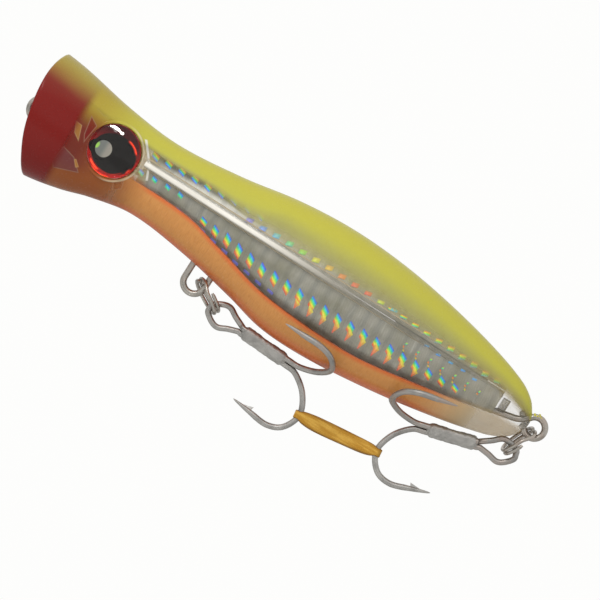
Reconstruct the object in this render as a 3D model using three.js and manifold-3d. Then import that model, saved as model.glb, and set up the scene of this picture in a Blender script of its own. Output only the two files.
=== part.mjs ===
// Topwater popper: a hollow two-piece lure body on a bent through wire, with a
// treble hook on a split ring under the belly and another at the tail.
// Millimetres. +X points to the mouth, +Z to the back, +Y to the lure's left.
// The origin is the centre of the line tie, the wire loop in the mouth.
import * as THREE from 'three';
import { mergeVertices } from 'three/addons/utils/BufferGeometryUtils.js';
import { LoftGeometry } from 'three/addons/geometries/LoftGeometry.js';
import Module from 'manifold-3d';

const wasm = await Module();
wasm.setup();

// ---- driving dimensions ----------------------------------------------------

// Body outline. "back" is always the distance behind the foremost lip point.
const BODY_LENGTH = 130;
const BODY_HEIGHT = 29.8;
const BODY_WIDTH = 24;
const TIE_SETBACK = 2.6;
const LIP_LEAN = 6.7;
const HALF_GAP = 0.3;
const WALL = 1.6;

// Mouth cup and tail plug
const LIP_WALL = 1.3;
const CUP_DEPTH = 11;
const CUP_FLOOR = 2;
const CUP_CORNER = 3.5;
const TAIL_PLUG = 6.5;

// Ridge along each flank
const RIDGE_FRONT = 29;
const RIDGE_TAIL_MARGIN = 9;
const RIDGE_LOW = 1.35;
const RIDGE_WIDTH = 2.4;
const RIDGE_RISE = 0.4;
const RIDGE_ROOT = 0.6;

// Eyes
const EYE_DIAMETER = 12;
const EYE_BACK = 21.3;
const EYE_RISE = 0.95;
const EYE_RECESS = 2.2;
const EYE_DISC = 0.5;
const EYE_RIM = 0.35;
const EYE_DOME = 1.5;
const EYE_SWEEP = 7;
const EYE_FIT = 0.15;
const SOCKET_WALL = 0.8;
const SOCKET_RISE = 1.2;
const SOCKET_FLOOR = 1.2;

// Through wire
const WIRE = 1.5;
const WIRE_FIT = 0.3;
const TIE_EYE_OUTER = 6.4;
const TAIL_EYE_OUTER = 6.2;
const TAIL_EYE_REACH = 1.8;
const TAIL_EYE_DROP = 0.8;
const HANGER_SHARE = 0.39654;
const HANGER_WIDTH = 5;
const HANGER_DROP = 3;
const RUN_DROP = 3.5;
const RUN_CORNER = 3;

// Split rings: two turns of round wire, each hanging in an eye of the through wire
const RING_OUTER = 8.9;
const RING_WIRE = 0.84;
const RING_TURN_GAP = 0.1;
const RING_TURNS = 1.83;
const RING_STEP_AT = 0.86;
const RING_TILT = 10;
const FRONT_RING_SWING = 60;
const REAR_RING_SWING = -22.4;
const FRONT_RING_SEAT = { behind: 0.55, above: 1.05 };
const REAR_RING_SEAT = { behind: 0.2, above: -0.5 };

// Treble hooks
const HOOK_WIRE = 1.35;
const HOOK_REACH = 28.4;
const HOOK_CLEAR_GAPE = 12.65;
const POINT_LENGTH = 6;
const POINT_TIP = 0.24;
const HOOK_EYE_OUTER = 6.5;
const HOOK_EYE_NECK = 6.8;
const BRAZE_START = 8;
const BRAZE_LENGTH = 10.5;
const SHANK_LEAD = 0.4;
const BRAZE_COVER = 0.12;
const BRAZE_FIT = 0.06;
const HOOK_FIT = 0.1;
const FRONT_TREBLE_PITCH = -2.5;
const REAR_TREBLE_PITCH = 15.7;
const FRONT_EYE_SLACK = 0.45;
const REAR_EYE_SLACK = 1.5;

// Rubber band round the two lower hooks
const BAND_HEIGHT = 3.6;
const BAND_THICKNESS = 1.1;
const BAND_FIT = 0.8;
const BAND_SEAT = 8.2;

// Foil strips against the inside of the shells
const FOIL_THICKNESS = 0.4;
const FOIL_FIT = 0.3;
const FOIL_BEHIND_SOCKET = 0.5;
const FOIL_TAIL_GAP = 1.5;
const FOIL_SPLIT = 0.3;
const FOIL_BACK_MARGIN = 4.2;
const FOIL_LEAST = 1;

// Belly weight
const BALLAST_DIAMETER = 6;
const BALLAST_LENGTH = 20;
const BALLAST_BEHIND_HANGER = 12.8;
const BALLAST_DROP = 8.6;

// Rattle tube and its balls
const TUBE_DIAMETER = 5.8;
const TUBE_WALL = 0.6;
const TUBE_LENGTH = 24;
const TUBE_RISE = 2.2;
const TUBE_TAIL_GAP = 6;
const TUBE_END_HOLE = 1.6;
const BALL_COUNT = 3;
const BALL_FIT = 0.3;

// Ribs across the cavity; the ballast and the tube rest in their bores
const RIB = 1.2;
const RIB_ROOT = 0.4;
const RIB_FIT = 0.3;
const RIB_IN_FROM_END = 2.5;

// Locating pins between the two halves
const PIN_DIAMETER = 1.6;
const PIN_REACH = 1.5;
const PIN_BOSS = 3.6;
const PIN_FIT = 0.3;
const PIN_BELOW_BACK = 3.2;
const PIN_BEHIND_CUP = 44;
const PIN_FROM_TAIL = 32;

// Facet counts
const BODY_SIDES = 24;
const BODY_STATIONS = 24;
const WIRE_SIDES = 8;
const ROUND_SIDES = 24;

const BIG = 300;

// ---- sizes that follow -------------------------------------------------------

const cavityFront = CUP_DEPTH + CUP_FLOOR;
const cavityRear = BODY_LENGTH - TAIL_PLUG;
const ridgeHigh = RIDGE_LOW + RIDGE_WIDTH;
const ridgeRear = BODY_LENGTH - RIDGE_TAIL_MARGIN;
const socketRadius = EYE_DIAMETER / 2 + EYE_FIT + SOCKET_WALL;
const foilFront = EYE_BACK + socketRadius + FOIL_BEHIND_SOCKET;
const ringRadius = (RING_OUTER - RING_WIRE) / 2;
const hookGape = HOOK_CLEAR_GAPE + HOOK_WIRE;
const shankOffset = (HOOK_WIRE + HOOK_FIT) / Math.sqrt(3);
const ballRadius = TUBE_DIAMETER / 2 - TUBE_WALL - BALL_FIT;
const tubeFront = cavityRear - TUBE_TAIL_GAP - TUBE_LENGTH;
const hangerBack = HANGER_SHARE * BODY_LENGTH;
const ballastFront = hangerBack + BALLAST_BEHIND_HANGER;
const ballastRear = ballastFront + BALLAST_LENGTH;
const tubeRear = tubeFront + TUBE_LENGTH;

// ---- finishes ---------------------------------------------------------------

const finishes = {
  clear: { color: 0xb4b070, roughness: 0.15, metalness: 0.0 },
  foil: { color: 0x8c8c82, roughness: 0.3, metalness: 0.9 },
  steel: { color: 0x8a8884, roughness: 0.3, metalness: 1.0 },
  tin: { color: 0x6e6b69, roughness: 0.45, metalness: 0.9 },
  braze: { color: 0x76736f, roughness: 0.6, metalness: 0.8 },
  eyePrint: { color: 0x7a1414, roughness: 0.3, metalness: 0.4 },
  eyeDome: { color: 0x2a0c0c, roughness: 0.05, metalness: 0.0 },
  rubber: { color: 0xb08226, roughness: 0.6, metalness: 0.0 },
  ballast: { color: 0x55565a, roughness: 0.5, metalness: 0.9 },
  tube: { color: 0xd8d8d0, roughness: 0.2, metalness: 0.0 },
};

// ---- helpers ----------------------------------------------------------------

const xAt = (back) => TIE_SETBACK - back;
const point = (back, z) => new THREE.Vector3(xAt(back), 0, z);
const turned = (vector, degrees) => (
  vector.clone().applyAxisAngle(new THREE.Vector3(0, 1, 0), THREE.MathUtils.degToRad(degrees))
);

/** Solid of a closed three.js geometry, for cutting and joining. */
function solidOf(geometry) {
  const bare = new THREE.BufferGeometry();
  bare.setAttribute('position', geometry.attributes.position);
  bare.setIndex(geometry.index);
  const merged = mergeVertices(bare, 1e-4);
  return new wasm.Manifold(new wasm.Mesh({
    numProp: 3,
    vertProperties: merged.attributes.position.array,
    triVerts: new Uint32Array(merged.index.array),
  }));
}

/** Geometry of a cut solid. */
function geometryOf(solid) {
  const mesh = solid.getMesh();
  const geometry = new THREE.BufferGeometry();
  geometry.setAttribute('position', new THREE.BufferAttribute(mesh.vertProperties, 3));
  geometry.setIndex(new THREE.BufferAttribute(mesh.triVerts, 1));
  geometry.computeVertexNormals();
  return geometry;
}

/** Named mesh with one of the finishes. */
function piece(name, geometry, finish) {
  const mesh = new THREE.Mesh(geometry, new THREE.MeshStandardMaterial(finishes[finish]));
  mesh.name = name;
  return mesh;
}

/** The same shape on the other side of the centre plane. */
function mirrored(geometry) {
  const other = geometry.clone();
  other.scale(1, -1, 1);
  const index = other.index.array;
  for (let i = 0; i < index.length; i += 3) {
    [index[i], index[i + 1]] = [index[i + 1], index[i]];
  }
  other.computeVertexNormals();
  return other;
}

/** Smooth function through [station, value] pairs. */
function through(pairs) {
  const last = pairs.length - 1;
  const slope = (i) => {
    const a = pairs[Math.max(i - 1, 0)];
    const b = pairs[Math.min(i + 1, last)];
    return (b[1] - a[1]) / (b[0] - a[0]);
  };
  return (station) => {
    const at = THREE.MathUtils.clamp(station, pairs[0][0], pairs[last][0]);
    const i = Math.min(pairs.findLastIndex((pair) => pair[0] <= at), last - 1);
    const span = pairs[i + 1][0] - pairs[i][0];
    const t = (at - pairs[i][0]) / span;
    const h = t * t * (3 - 2 * t);
    const bend = t * (1 - t) * ((1 - t) * slope(i) - t * slope(i + 1)) * span;
    return pairs[i][1] * (1 - h) + pairs[i + 1][1] * h + bend;
  };
}

/** Solid box between two corners. */
function box(x0, x1, y0, y1, z0, z1) {
  const geometry = new THREE.BoxGeometry(x1 - x0, y1 - y0, z1 - z0);
  geometry.translate((x0 + x1) / 2, (y0 + y1) / 2, (z0 + z1) / 2);
  return solidOf(geometry);
}

/** Rod along X between two places behind the lip. */
function lengthwiseRod(radius, front, rear, y, z) {
  const geometry = new THREE.CylinderGeometry(radius, radius, rear - front, ROUND_SIDES);
  geometry.rotateZ(Math.PI / 2);
  geometry.translate(xAt((front + rear) / 2), y, z);
  return geometry;
}

/** Rod along Y at a place behind the lip. */
function crosswiseRod(radius, fromY, toY, back, z) {
  const geometry = new THREE.CylinderGeometry(radius, radius, toY - fromY, ROUND_SIDES / 2);
  geometry.translate(xAt(back), (fromY + toY) / 2, z);
  return geometry;
}

/** Flat outline in the XZ plane, given as Shape, pushed out along Y both ways. */
function crosswiseSlab(shape, halfWidth) {
  const geometry = new THREE.ExtrudeGeometry(shape, {
    depth: 2 * halfWidth, bevelEnabled: false, curveSegments: 8,
  });
  geometry.rotateX(Math.PI / 2);
  geometry.translate(0, halfWidth, 0);
  return geometry;
}

/** Round wire along a list of points, with one radius for each point. */
function wireGeometry(points, radii, sides = WIRE_SIDES) {
  const last = points.length - 1;
  let side = new THREE.Vector3(0, 1, 0);
  const sections = points.map((centre, i) => {
    const along = points[Math.min(i + 1, last)].clone().sub(points[Math.max(i - 1, 0)]).normalize();
    side = side.clone().addScaledVector(along, -side.dot(along)).normalize();
    const up = along.clone().cross(side);
    return Array.from({ length: sides }, (_, k) => {
      const angle = (k / sides) * Math.PI * 2;
      return centre.clone()
        .addScaledVector(side, Math.cos(angle) * radii[i])
        .addScaledVector(up, Math.sin(angle) * radii[i]);
    });
  });
  return new LoftGeometry(sections, { capStart: true, capEnd: true });
}

/** Wire of one thickness all along. */
function evenWire(points, diameter) {
  return wireGeometry(points, points.map(() => diameter / 2));
}

/** Points of an arc in the XZ plane, from one angle to another in degrees. */
function arcPoints(centre, radius, fromDegrees, toDegrees, steps) {
  return Array.from({ length: steps + 1 }, (_, i) => {
    const angle = THREE.MathUtils.degToRad(fromDegrees + ((toDegrees - fromDegrees) * i) / steps);
    return centre.clone().add(new THREE.Vector3(Math.cos(angle) * radius, 0, Math.sin(angle) * radius));
  });
}

/** A polyline with each inner corner rounded. */
function roundedRoute(corners, radius, steps) {
  const route = [corners[0]];
  for (let i = 1; i < corners.length - 1; i += 1) {
    const corner = corners[i];
    const toLast = corners[i - 1].clone().sub(corner);
    const toNext = corners[i + 1].clone().sub(corner);
    const reach = Math.min(radius, toLast.length() / 2.2, toNext.length() / 2.2);
    const start = corner.clone().addScaledVector(toLast.normalize(), reach);
    const end = corner.clone().addScaledVector(toNext.normalize(), reach);
    route.push(...new THREE.QuadraticBezierCurve3(start, corner, end).getPoints(steps));
  }
  route.push(corners[corners.length - 1]);
  return route;
}

// ---- body form --------------------------------------------------------------

// Outlines of the back, the belly and the flank. Stations are shares of the
// length; heights are shares of the full height, measured from the wire line,
// and the flank's values are shares of the full width.
const backShare = through([
  [-0.03, 0.475], [0.045, 0.445], [0.15, 0.365], [0.25, 0.329], [0.37, 0.381], [0.475, 0.461],
  [0.575, 0.495], [0.675, 0.477], [0.775, 0.417], [0.88, 0.319], [0.955, 0.215], [0.985, 0.13], [1, 0.04],
]);
const bellyShare = through([
  [-0.03, -0.5], [0.06, -0.47], [0.12, -0.416], [0.17, -0.349], [0.245, -0.289], [0.35, -0.33],
  [0.46, -0.42], [0.525, -0.487], [0.59, -0.503], [0.675, -0.48], [0.81, -0.399], [0.945, -0.268],
  [0.985, -0.18], [1, -0.09],
]);
const flankShare = through([
  [-0.03, 0.54], [0.06, 0.5], [0.15, 0.4], [0.25, 0.345], [0.37, 0.385], [0.48, 0.465],
  [0.58, 0.5], [0.68, 0.485], [0.8, 0.405], [0.9, 0.3], [0.965, 0.19], [0.99, 0.12], [1, 0.05],
]);
const backAt = (back) => backShare(back / BODY_LENGTH) * BODY_HEIGHT;
const bellyAt = (back) => bellyShare(back / BODY_LENGTH) * BODY_HEIGHT;
const flankAt = (back) => flankShare(back / BODY_LENGTH) * BODY_WIDTH;

/** Stations from one end to the other, closer together towards both ends. */
function stations(from, to, count) {
  return Array.from({ length: count + 1 }, (_, i) => (
    from + ((to - from) * (1 - Math.cos((Math.PI * i) / count))) / 2
  ));
}

const LEAD = 4;
const bodyStations = stations(-LEAD, BODY_LENGTH, BODY_STATIONS);

/** Solid of the body form between two places, moved in from the surface by insetAt(back). */
function bodyForm(from, to, insetAt, extraStations = []) {
  const inner = [...bodyStations, ...extraStations].filter((back) => back > from && back < to);
  const backs = [from, ...inner.sort((a, b) => a - b), to];
  const sections = backs.map((back) => {
    const inset = insetAt(back);
    const top = backAt(back) - inset;
    const bottom = bellyAt(back) + inset;
    const half = flankAt(back) - inset;
    return Array.from({ length: BODY_SIDES }, (_, k) => {
      const angle = (k / BODY_SIDES) * Math.PI * 2;
      const z = (top + bottom) / 2 + (Math.sin(angle) * (top - bottom)) / 2;
      return new THREE.Vector3(xAt(back), -Math.cos(angle) * half, z);
    });
  });
  return solidOf(new LoftGeometry(sections, { capStart: true, capEnd: true }));
}

/** Layer of the body form between two depths below its surface. */
function bodyLayer(from, to, outer, inner) {
  return bodyForm(from, to, () => outer).subtract(bodyForm(from - 1, to + 1, () => inner));
}

/** All that lies behind the mouth's leaning, slightly rounded face. */
function behindFace() {
  const lips = [
    [1.6, -0.62], [1, -0.47], [0.72, -0.37], [0.36, -0.19], [0.11, 0.03], [0, 0.22], [0.03, 0.35],
    [0.18, 0.466], [0.5, 0.62],
  ];
  const face = lips.map(([lean, height]) => new THREE.Vector2(xAt(lean * LIP_LEAN), height * BODY_HEIGHT));
  const outline = new THREE.Shape();
  outline.moveTo(-BIG, face[0].y);
  outline.lineTo(face[0].x, face[0].y);
  outline.splineThru(face.slice(1));
  outline.lineTo(-BIG, face[face.length - 1].y);
  return solidOf(crosswiseSlab(outline, BIG));
}

/** Space inside the mouth: thin lips, a deep straight wall and a flat floor. */
function mouthCup() {
  const inset = (back) => {
    const turn = THREE.MathUtils.clamp((back - CUP_DEPTH + CUP_CORNER) / CUP_CORNER, 0, 1);
    return LIP_WALL + CUP_CORNER * (1 - Math.sqrt(1 - turn * turn));
  };
  return bodyForm(-LEAD - 1, CUP_DEPTH, inset, stations(CUP_DEPTH - CUP_CORNER, CUP_DEPTH, 8));
}

// ---- through wire -----------------------------------------------------------

const hangerCentre = point(hangerBack, bellyAt(hangerBack) - HANGER_DROP);
const tailEyeCentre = point(BODY_LENGTH + TAIL_EYE_REACH, -TAIL_EYE_DROP);

/** Centre line: line tie, run to the belly, belly eye, run to the tail, tail eye. */
function throughWireRoute() {
  const tieRadius = (TIE_EYE_OUTER - WIRE) / 2;
  const tailRadius = (TAIL_EYE_OUTER - WIRE) / 2;
  const legs = [hangerBack - HANGER_WIDTH / 2, hangerBack + HANGER_WIDTH / 2];
  const tie = arcPoints(new THREE.Vector3(), tieRadius, -145, 150, 14);
  const front = roundedRoute([
    new THREE.Vector3(-1.5 * tieRadius, 0, 0),
    point(legs[0], 0),
    point(legs[0], hangerCentre.z + WIRE),
  ], RUN_CORNER, 4);
  const hanger = arcPoints(hangerCentre, HANGER_WIDTH / 2, 0, -180, 9);
  const tail = arcPoints(tailEyeCentre, tailRadius, 40, 325, 14);
  const rear = roundedRoute([
    point(legs[1], hangerCentre.z + WIRE),
    point(legs[1], -RUN_DROP),
    point(BODY_LENGTH - 2 * TAIL_PLUG, -RUN_DROP),
    tail[0].clone().add(new THREE.Vector3(1.4 * WIRE, 0, -1.2 * WIRE)),
    tail[0],
  ], RUN_CORNER, 4);
  return [...tie, ...front, ...hanger, ...rear.slice(0, -1), ...tail];
}

// ---- shells -----------------------------------------------------------------

/** Frame of the left eye: local Y points out of the flank. */
function eyeFrame(depth) {
  const sweep = THREE.MathUtils.degToRad(EYE_SWEEP);
  return new THREE.Matrix4()
    .makeTranslation(xAt(EYE_BACK), flankAt(EYE_BACK) - EYE_RECESS, EYE_RISE)
    .multiply(new THREE.Matrix4().makeRotationZ(sweep))
    .multiply(new THREE.Matrix4().makeTranslation(0, depth, 0));
}

/** Rod in the left eye's frame, standing on the given depth. */
function eyeRod(radius, depth, height) {
  const geometry = new THREE.CylinderGeometry(radius, radius, height, ROUND_SIDES);
  geometry.translate(0, height / 2, 0);
  return solidOf(geometry.applyMatrix4(eyeFrame(depth)));
}

/** Outline of one foil strip, or of both strips together. */
function foilOutline(low, high, grow) {
  const front = foilFront - grow;
  const rear = cavityRear - FOIL_TAIL_GAP + grow;
  const steps = 10;
  const backs = Array.from({ length: steps + 1 }, (_, i) => front + ((rear - front) * i) / steps);
  const edge = [
    ...backs.map((back) => new THREE.Vector2(xAt(back), low(back) - grow)),
    ...backs.reverse().map((back) => new THREE.Vector2(xAt(back), high(back) + grow)),
  ];
  return new THREE.Shape(edge);
}

// The foil's lower edge dips below the middle of the body; its upper edge
// follows the back. Each strip keeps a least width beside the ridge.
const foilLowShare = through([
  [0.2, -0.065], [0.33, -0.08], [0.4, -0.155], [0.51, -0.265], [0.68, -0.295], [0.8, -0.22], [0.95, -0.1],
]);
const ridgeMiddle = RIDGE_LOW + RIDGE_WIDTH / 2;
const foilLow = (back) => Math.min(foilLowShare(back / BODY_LENGTH) * BODY_HEIGHT, ridgeMiddle - FOIL_LEAST);
const foilHigh = (back) => Math.max(backAt(back) - FOIL_BACK_MARGIN, ridgeMiddle + FOIL_LEAST);

/** One foil strip of the left half, between two height limits. */
function foilStrip(low, high, grow) {
  const outer = WALL + FOIL_FIT - grow;
  const inner = WALL + FOIL_FIT + FOIL_THICKNESS + grow;
  return bodyLayer(foilFront - 3, cavityRear, outer, inner)
    .intersect(solidOf(crosswiseSlab(foilOutline(low, high, grow), BIG)))
    .intersect(box(-BIG, BIG, HALF_GAP, BIG, -BIG, BIG));
}

/** Everything that sits between the two halves and needs room in the ribs. */
function roomInRibs(wireRoute) {
  const ballast = lengthwiseRod(
    BALLAST_DIAMETER / 2 + RIB_FIT, ballastFront - RIB_FIT, ballastRear + RIB_FIT, 0, -BALLAST_DROP,
  );
  const tube = lengthwiseRod(TUBE_DIAMETER / 2 + RIB_FIT, tubeFront - RIB_FIT, tubeRear + RIB_FIT, 0, TUBE_RISE);
  return solidOf(evenWire(wireRoute, WIRE + 2 * WIRE_FIT))
    .add(solidOf(ballast))
    .add(solidOf(tube));
}

/** Ribs and pin bosses inside the cavity, before they are cut in halves. */
function innerFrame(foilRoom) {
  const inside = bodyForm(cavityFront - 1, cavityRear + 1, () => WALL - RIB_ROOT);
  const ribBacks = [
    ballastFront + RIB_IN_FROM_END,
    ballastRear - RIB_IN_FROM_END,
    tubeFront + RIB_IN_FROM_END,
    tubeRear - RIB_IN_FROM_END,
  ];
  const ribs = ribBacks.map((back) => box(xAt(back) - RIB / 2, xAt(back) + RIB / 2, -BIG, BIG, -BIG, BIG));
  const bosses = pinPlaces.map(([back, z]) => solidOf(crosswiseRod(PIN_BOSS / 2, -BODY_WIDTH, BODY_WIDTH, back, z)));
  return [...ribs, ...bosses]
    .reduce((all, next) => all.add(next))
    .intersect(inside)
    .subtract(foilRoom);
}

const pinPlaces = [cavityFront + PIN_BEHIND_CUP, BODY_LENGTH - PIN_FROM_TAIL]
  .map((back) => [back, backAt(back) - PIN_BELOW_BACK]);

/** Left half of the shell without its pins. */
function leftShell(wireRoute) {
  const foilRoom = foilStrip(foilLow, foilHigh, FOIL_FIT);
  const flankBand = box(xAt(ridgeRear), xAt(RIDGE_FRONT), 0, BIG, RIDGE_LOW, ridgeHigh);
  const ridge = bodyLayer(RIDGE_FRONT - 2, ridgeRear + 2, -RIDGE_RISE, RIDGE_ROOT).intersect(flankBand);
  const cavity = bodyForm(cavityFront, cavityRear, () => WALL);
  const eyeRadius = EYE_DIAMETER / 2 + EYE_FIT;
  const socket = eyeRod(socketRadius, -SOCKET_FLOOR, SOCKET_FLOOR + SOCKET_RISE);
  return bodyForm(-LEAD, BODY_LENGTH, () => 0)
    .subtract(cavity)
    .add(innerFrame(foilRoom))
    .add(ridge)
    .add(socket)
    .subtract(eyeRod(eyeRadius, 0, EYE_DIAMETER))
    .subtract(roomInRibs(wireRoute))
    .subtract(mouthCup())
    .intersect(behindFace())
    .intersect(box(-BIG, BIG, HALF_GAP / 2, BIG, -BIG, BIG));
}

/** Both halves: the left one has the pins, the right one their sockets. */
function shells(wireRoute) {
  const left = leftShell(wireRoute);
  const right = solidOf(mirrored(geometryOf(left)));
  const rods = (radius, reach) => pinPlaces
    .map(([back, z]) => solidOf(crosswiseRod(radius, -reach, HALF_GAP, back, z)))
    .reduce((all, next) => all.add(next));
  return {
    left: left.add(rods(PIN_DIAMETER / 2, PIN_REACH)),
    right: right.subtract(rods(PIN_DIAMETER / 2 + PIN_FIT, PIN_REACH + PIN_FIT)),
  };
}

// ---- eyes -------------------------------------------------------------------

/** Printed disc and clear dome in one socket; side is 1 on the left, -1 on the right. */
function eye(side, label) {
  const group = new THREE.Group();
  const frame = eyeFrame(EYE_FIT);
  group.position.setFromMatrixPosition(frame);
  group.position.y *= side;
  const sweep = THREE.MathUtils.degToRad(EYE_SWEEP);
  group.rotation.z = side > 0 ? sweep : Math.PI - sweep;
  const disc = new THREE.CylinderGeometry(EYE_DIAMETER / 2, EYE_DIAMETER / 2, EYE_DISC, ROUND_SIDES);
  const discMesh = piece(`eye_disc_${label}`, disc, 'eyePrint');
  discMesh.position.y = EYE_DISC / 2;
  const radius = EYE_DIAMETER / 2;
  const capRadius = (radius * radius + EYE_DOME * EYE_DOME) / (2 * EYE_DOME);
  const capAngle = Math.asin(radius / capRadius);
  const profile = [new THREE.Vector2(0, 0), new THREE.Vector2(radius, 0)];
  const steps = 4;
  for (let i = 0; i <= steps; i += 1) {
    const angle = capAngle * (1 - i / steps);
    const rise = EYE_RIM + EYE_DOME - capRadius * (1 - Math.cos(angle));
    profile.push(new THREE.Vector2(capRadius * Math.sin(angle), rise));
  }
  const domeMesh = piece(`eye_dome_${label}`, new THREE.LatheGeometry(profile, ROUND_SIDES), 'eyeDome');
  domeMesh.position.y = EYE_DISC + EYE_FIT;
  group.add(discMesh, domeMesh);
  return group;
}

// ---- split rings ------------------------------------------------------------

/** Ring hanging from the group's origin along local -Z, its axis along local X. */
function splitRing(name, hinge, swing) {
  const steps = 34;
  const pitch = RING_WIRE + RING_TURN_GAP;
  const points = Array.from({ length: steps + 1 }, (_, i) => {
    const turns = (RING_TURNS * i) / steps;
    const angle = (turns + 0.25) * Math.PI * 2;
    return new THREE.Vector3(
      (THREE.MathUtils.smoothstep(turns, RING_STEP_AT, 1) - 0.5) * pitch,
      Math.sin(angle) * ringRadius,
      -ringRadius + Math.cos(angle) * ringRadius,
    );
  });
  const tilted = new THREE.Group();
  tilted.rotation.z = THREE.MathUtils.degToRad(RING_TILT);
  tilted.add(piece(name, evenWire(points, RING_WIRE), 'steel'));
  const group = new THREE.Group();
  group.position.copy(hinge);
  group.rotation.y = THREE.MathUtils.degToRad(swing);
  group.add(tilted);
  return group;
}

const frontRingHinge = hangerCentre.clone()
  .add(new THREE.Vector3(-FRONT_RING_SEAT.behind, 0, FRONT_RING_SEAT.above));
const rearRingHinge = tailEyeCentre.clone()
  .add(new THREE.Vector3(-REAR_RING_SEAT.behind, 0, REAR_RING_SEAT.above));
const ringDrop = new THREE.Vector3(0, 0, -2 * ringRadius);
const frontTrebleHinge = frontRingHinge.clone().add(turned(ringDrop, FRONT_RING_SWING));
const rearTrebleHinge = rearRingHinge.clone().add(turned(ringDrop, REAR_RING_SWING));

// ---- treble hooks -----------------------------------------------------------

/** Centre line of one hook in its own plane: [along the shank, out from it]. */
function hookCurve(slack) {
  const reach = HOOK_REACH - slack;
  const gape = hookGape;
  const outline = [
    [reach - 0.64 * gape, shankOffset], [reach - 0.43 * gape, shankOffset + 0.02 * gape],
    [reach - 0.16 * gape, 0.27 * gape], [reach, 0.57 * gape], [reach - 0.1 * gape, 0.87 * gape],
    [reach - 0.34 * gape, gape], [reach - 0.68 * gape, 0.985 * gape], [reach - gape, 0.96 * gape],
  ];
  return outline.map(([along, out]) => new THREE.Vector3(-along, 0, -out));
}

/** Hook centre line from just before the braze to the point, turned about the shank. */
function hookRoute(slack, degrees) {
  const start = new THREE.Vector3(-(BRAZE_START - slack - SHANK_LEAD), 0, -shankOffset);
  const bend = new THREE.CatmullRomCurve3(hookCurve(slack), false, 'catmullrom', 0.5).getPoints(16);
  const axis = new THREE.Vector3(1, 0, 0);
  return [start, ...bend].map((place) => place.applyAxisAngle(axis, THREE.MathUtils.degToRad(degrees)));
}

/** Radii that narrow to a sharp point near each listed end. */
function pointedRadii(points, ends) {
  return points.map((place) => {
    const nearest = Math.min(...ends.map((end) => place.distanceTo(points.at(end))));
    const share = Math.min(nearest / POINT_LENGTH, 1);
    return (POINT_TIP + (HOOK_WIRE - POINT_TIP) * Math.sqrt(share)) / 2;
  });
}

/** Eye of the bent wire, from the upper side of the neck round to the lower side. */
function hookEyeRoute(slack) {
  const half = (HOOK_EYE_OUTER - HOOK_WIRE) / 2;
  const tip = (RING_WIRE + HOOK_WIRE) / 2 + HOOK_FIT + slack;
  const neck = HOOK_EYE_NECK - slack;
  const neckHalf = (HOOK_WIRE + HOOK_FIT) / 2;
  const places = [
    [neck, neckHalf], [neck - 2.2, 0.62 * half], [half - slack, half], [0.35 * half - slack, 0.9 * half],
    [-tip + 0.2, 0.42 * half], [-tip, 0], [-tip + 0.2, -0.42 * half], [0.35 * half - slack, -0.9 * half],
    [half - slack, -half], [neck - 2.2, -0.62 * half], [neck, -neckHalf],
  ];
  const curve = new THREE.CatmullRomCurve3(
    places.map(([along, up]) => new THREE.Vector3(-along, 0, up)), false, 'catmullrom', 0.5,
  );
  return curve.getPoints(22);
}

/** Treble hanging on its ring: a double hook with the eye, a single hook and the braze. */
function treble(name, hinge, pitch, faceForward, slack) {
  const left = hookRoute(slack, 120);
  const lower = hookRoute(slack, 0);
  const right = hookRoute(slack, -120);
  const double = [...left.toReversed(), ...hookEyeRoute(slack), ...lower];
  const start = BRAZE_START - slack;
  const bores = [0, 120, -120].map((degrees) => {
    const shank = new THREE.CylinderGeometry(
      HOOK_WIRE / 2 + BRAZE_FIT, HOOK_WIRE / 2 + BRAZE_FIT, 3 * BRAZE_LENGTH, WIRE_SIDES * 2,
    );
    shank.rotateZ(Math.PI / 2);
    shank.translate(-start, 0, -shankOffset);
    shank.rotateX(THREE.MathUtils.degToRad(degrees));
    return solidOf(shank);
  });
  const core = new THREE.CylinderGeometry(shankOffset / 2, shankOffset / 2, 3 * BRAZE_LENGTH, WIRE_SIDES);
  core.rotateZ(Math.PI / 2);
  core.translate(-start, 0, 0);
  bores.push(solidOf(core));
  const brazeRadius = shankOffset + HOOK_WIRE / 2 + BRAZE_FIT + BRAZE_COVER;
  const sleeve = new THREE.CylinderGeometry(brazeRadius, brazeRadius, BRAZE_LENGTH, WIRE_SIDES * 2);
  sleeve.rotateZ(Math.PI / 2);
  sleeve.translate(-start - BRAZE_LENGTH / 2, 0, 0);
  const braze = bores.reduce((rest, bore) => rest.subtract(bore), solidOf(sleeve));
  const facing = new THREE.Group();
  facing.rotation.z = faceForward ? Math.PI : 0;
  facing.add(
    piece(`${name}_double_hook`, wireGeometry(double, pointedRadii(double, [0, -1])), 'tin'),
    piece(`${name}_single_hook`, wireGeometry(right, pointedRadii(right, [-1])), 'tin'),
    piece(`${name}_braze`, geometryOf(braze), 'braze'),
  );
  const group = new THREE.Group();
  group.position.copy(hinge);
  group.rotation.y = THREE.MathUtils.degToRad(pitch);
  group.add(facing);
  return group;
}

/** Place on a treble's lower hook where the rubber band sits. */
function bandSeat(hinge, pitch, faceForward, slack) {
  const along = (HOOK_REACH - slack) * (faceForward ? 1 : -1);
  return hinge.clone().add(turned(new THREE.Vector3(along, 0, -BAND_SEAT), pitch));
}

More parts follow.
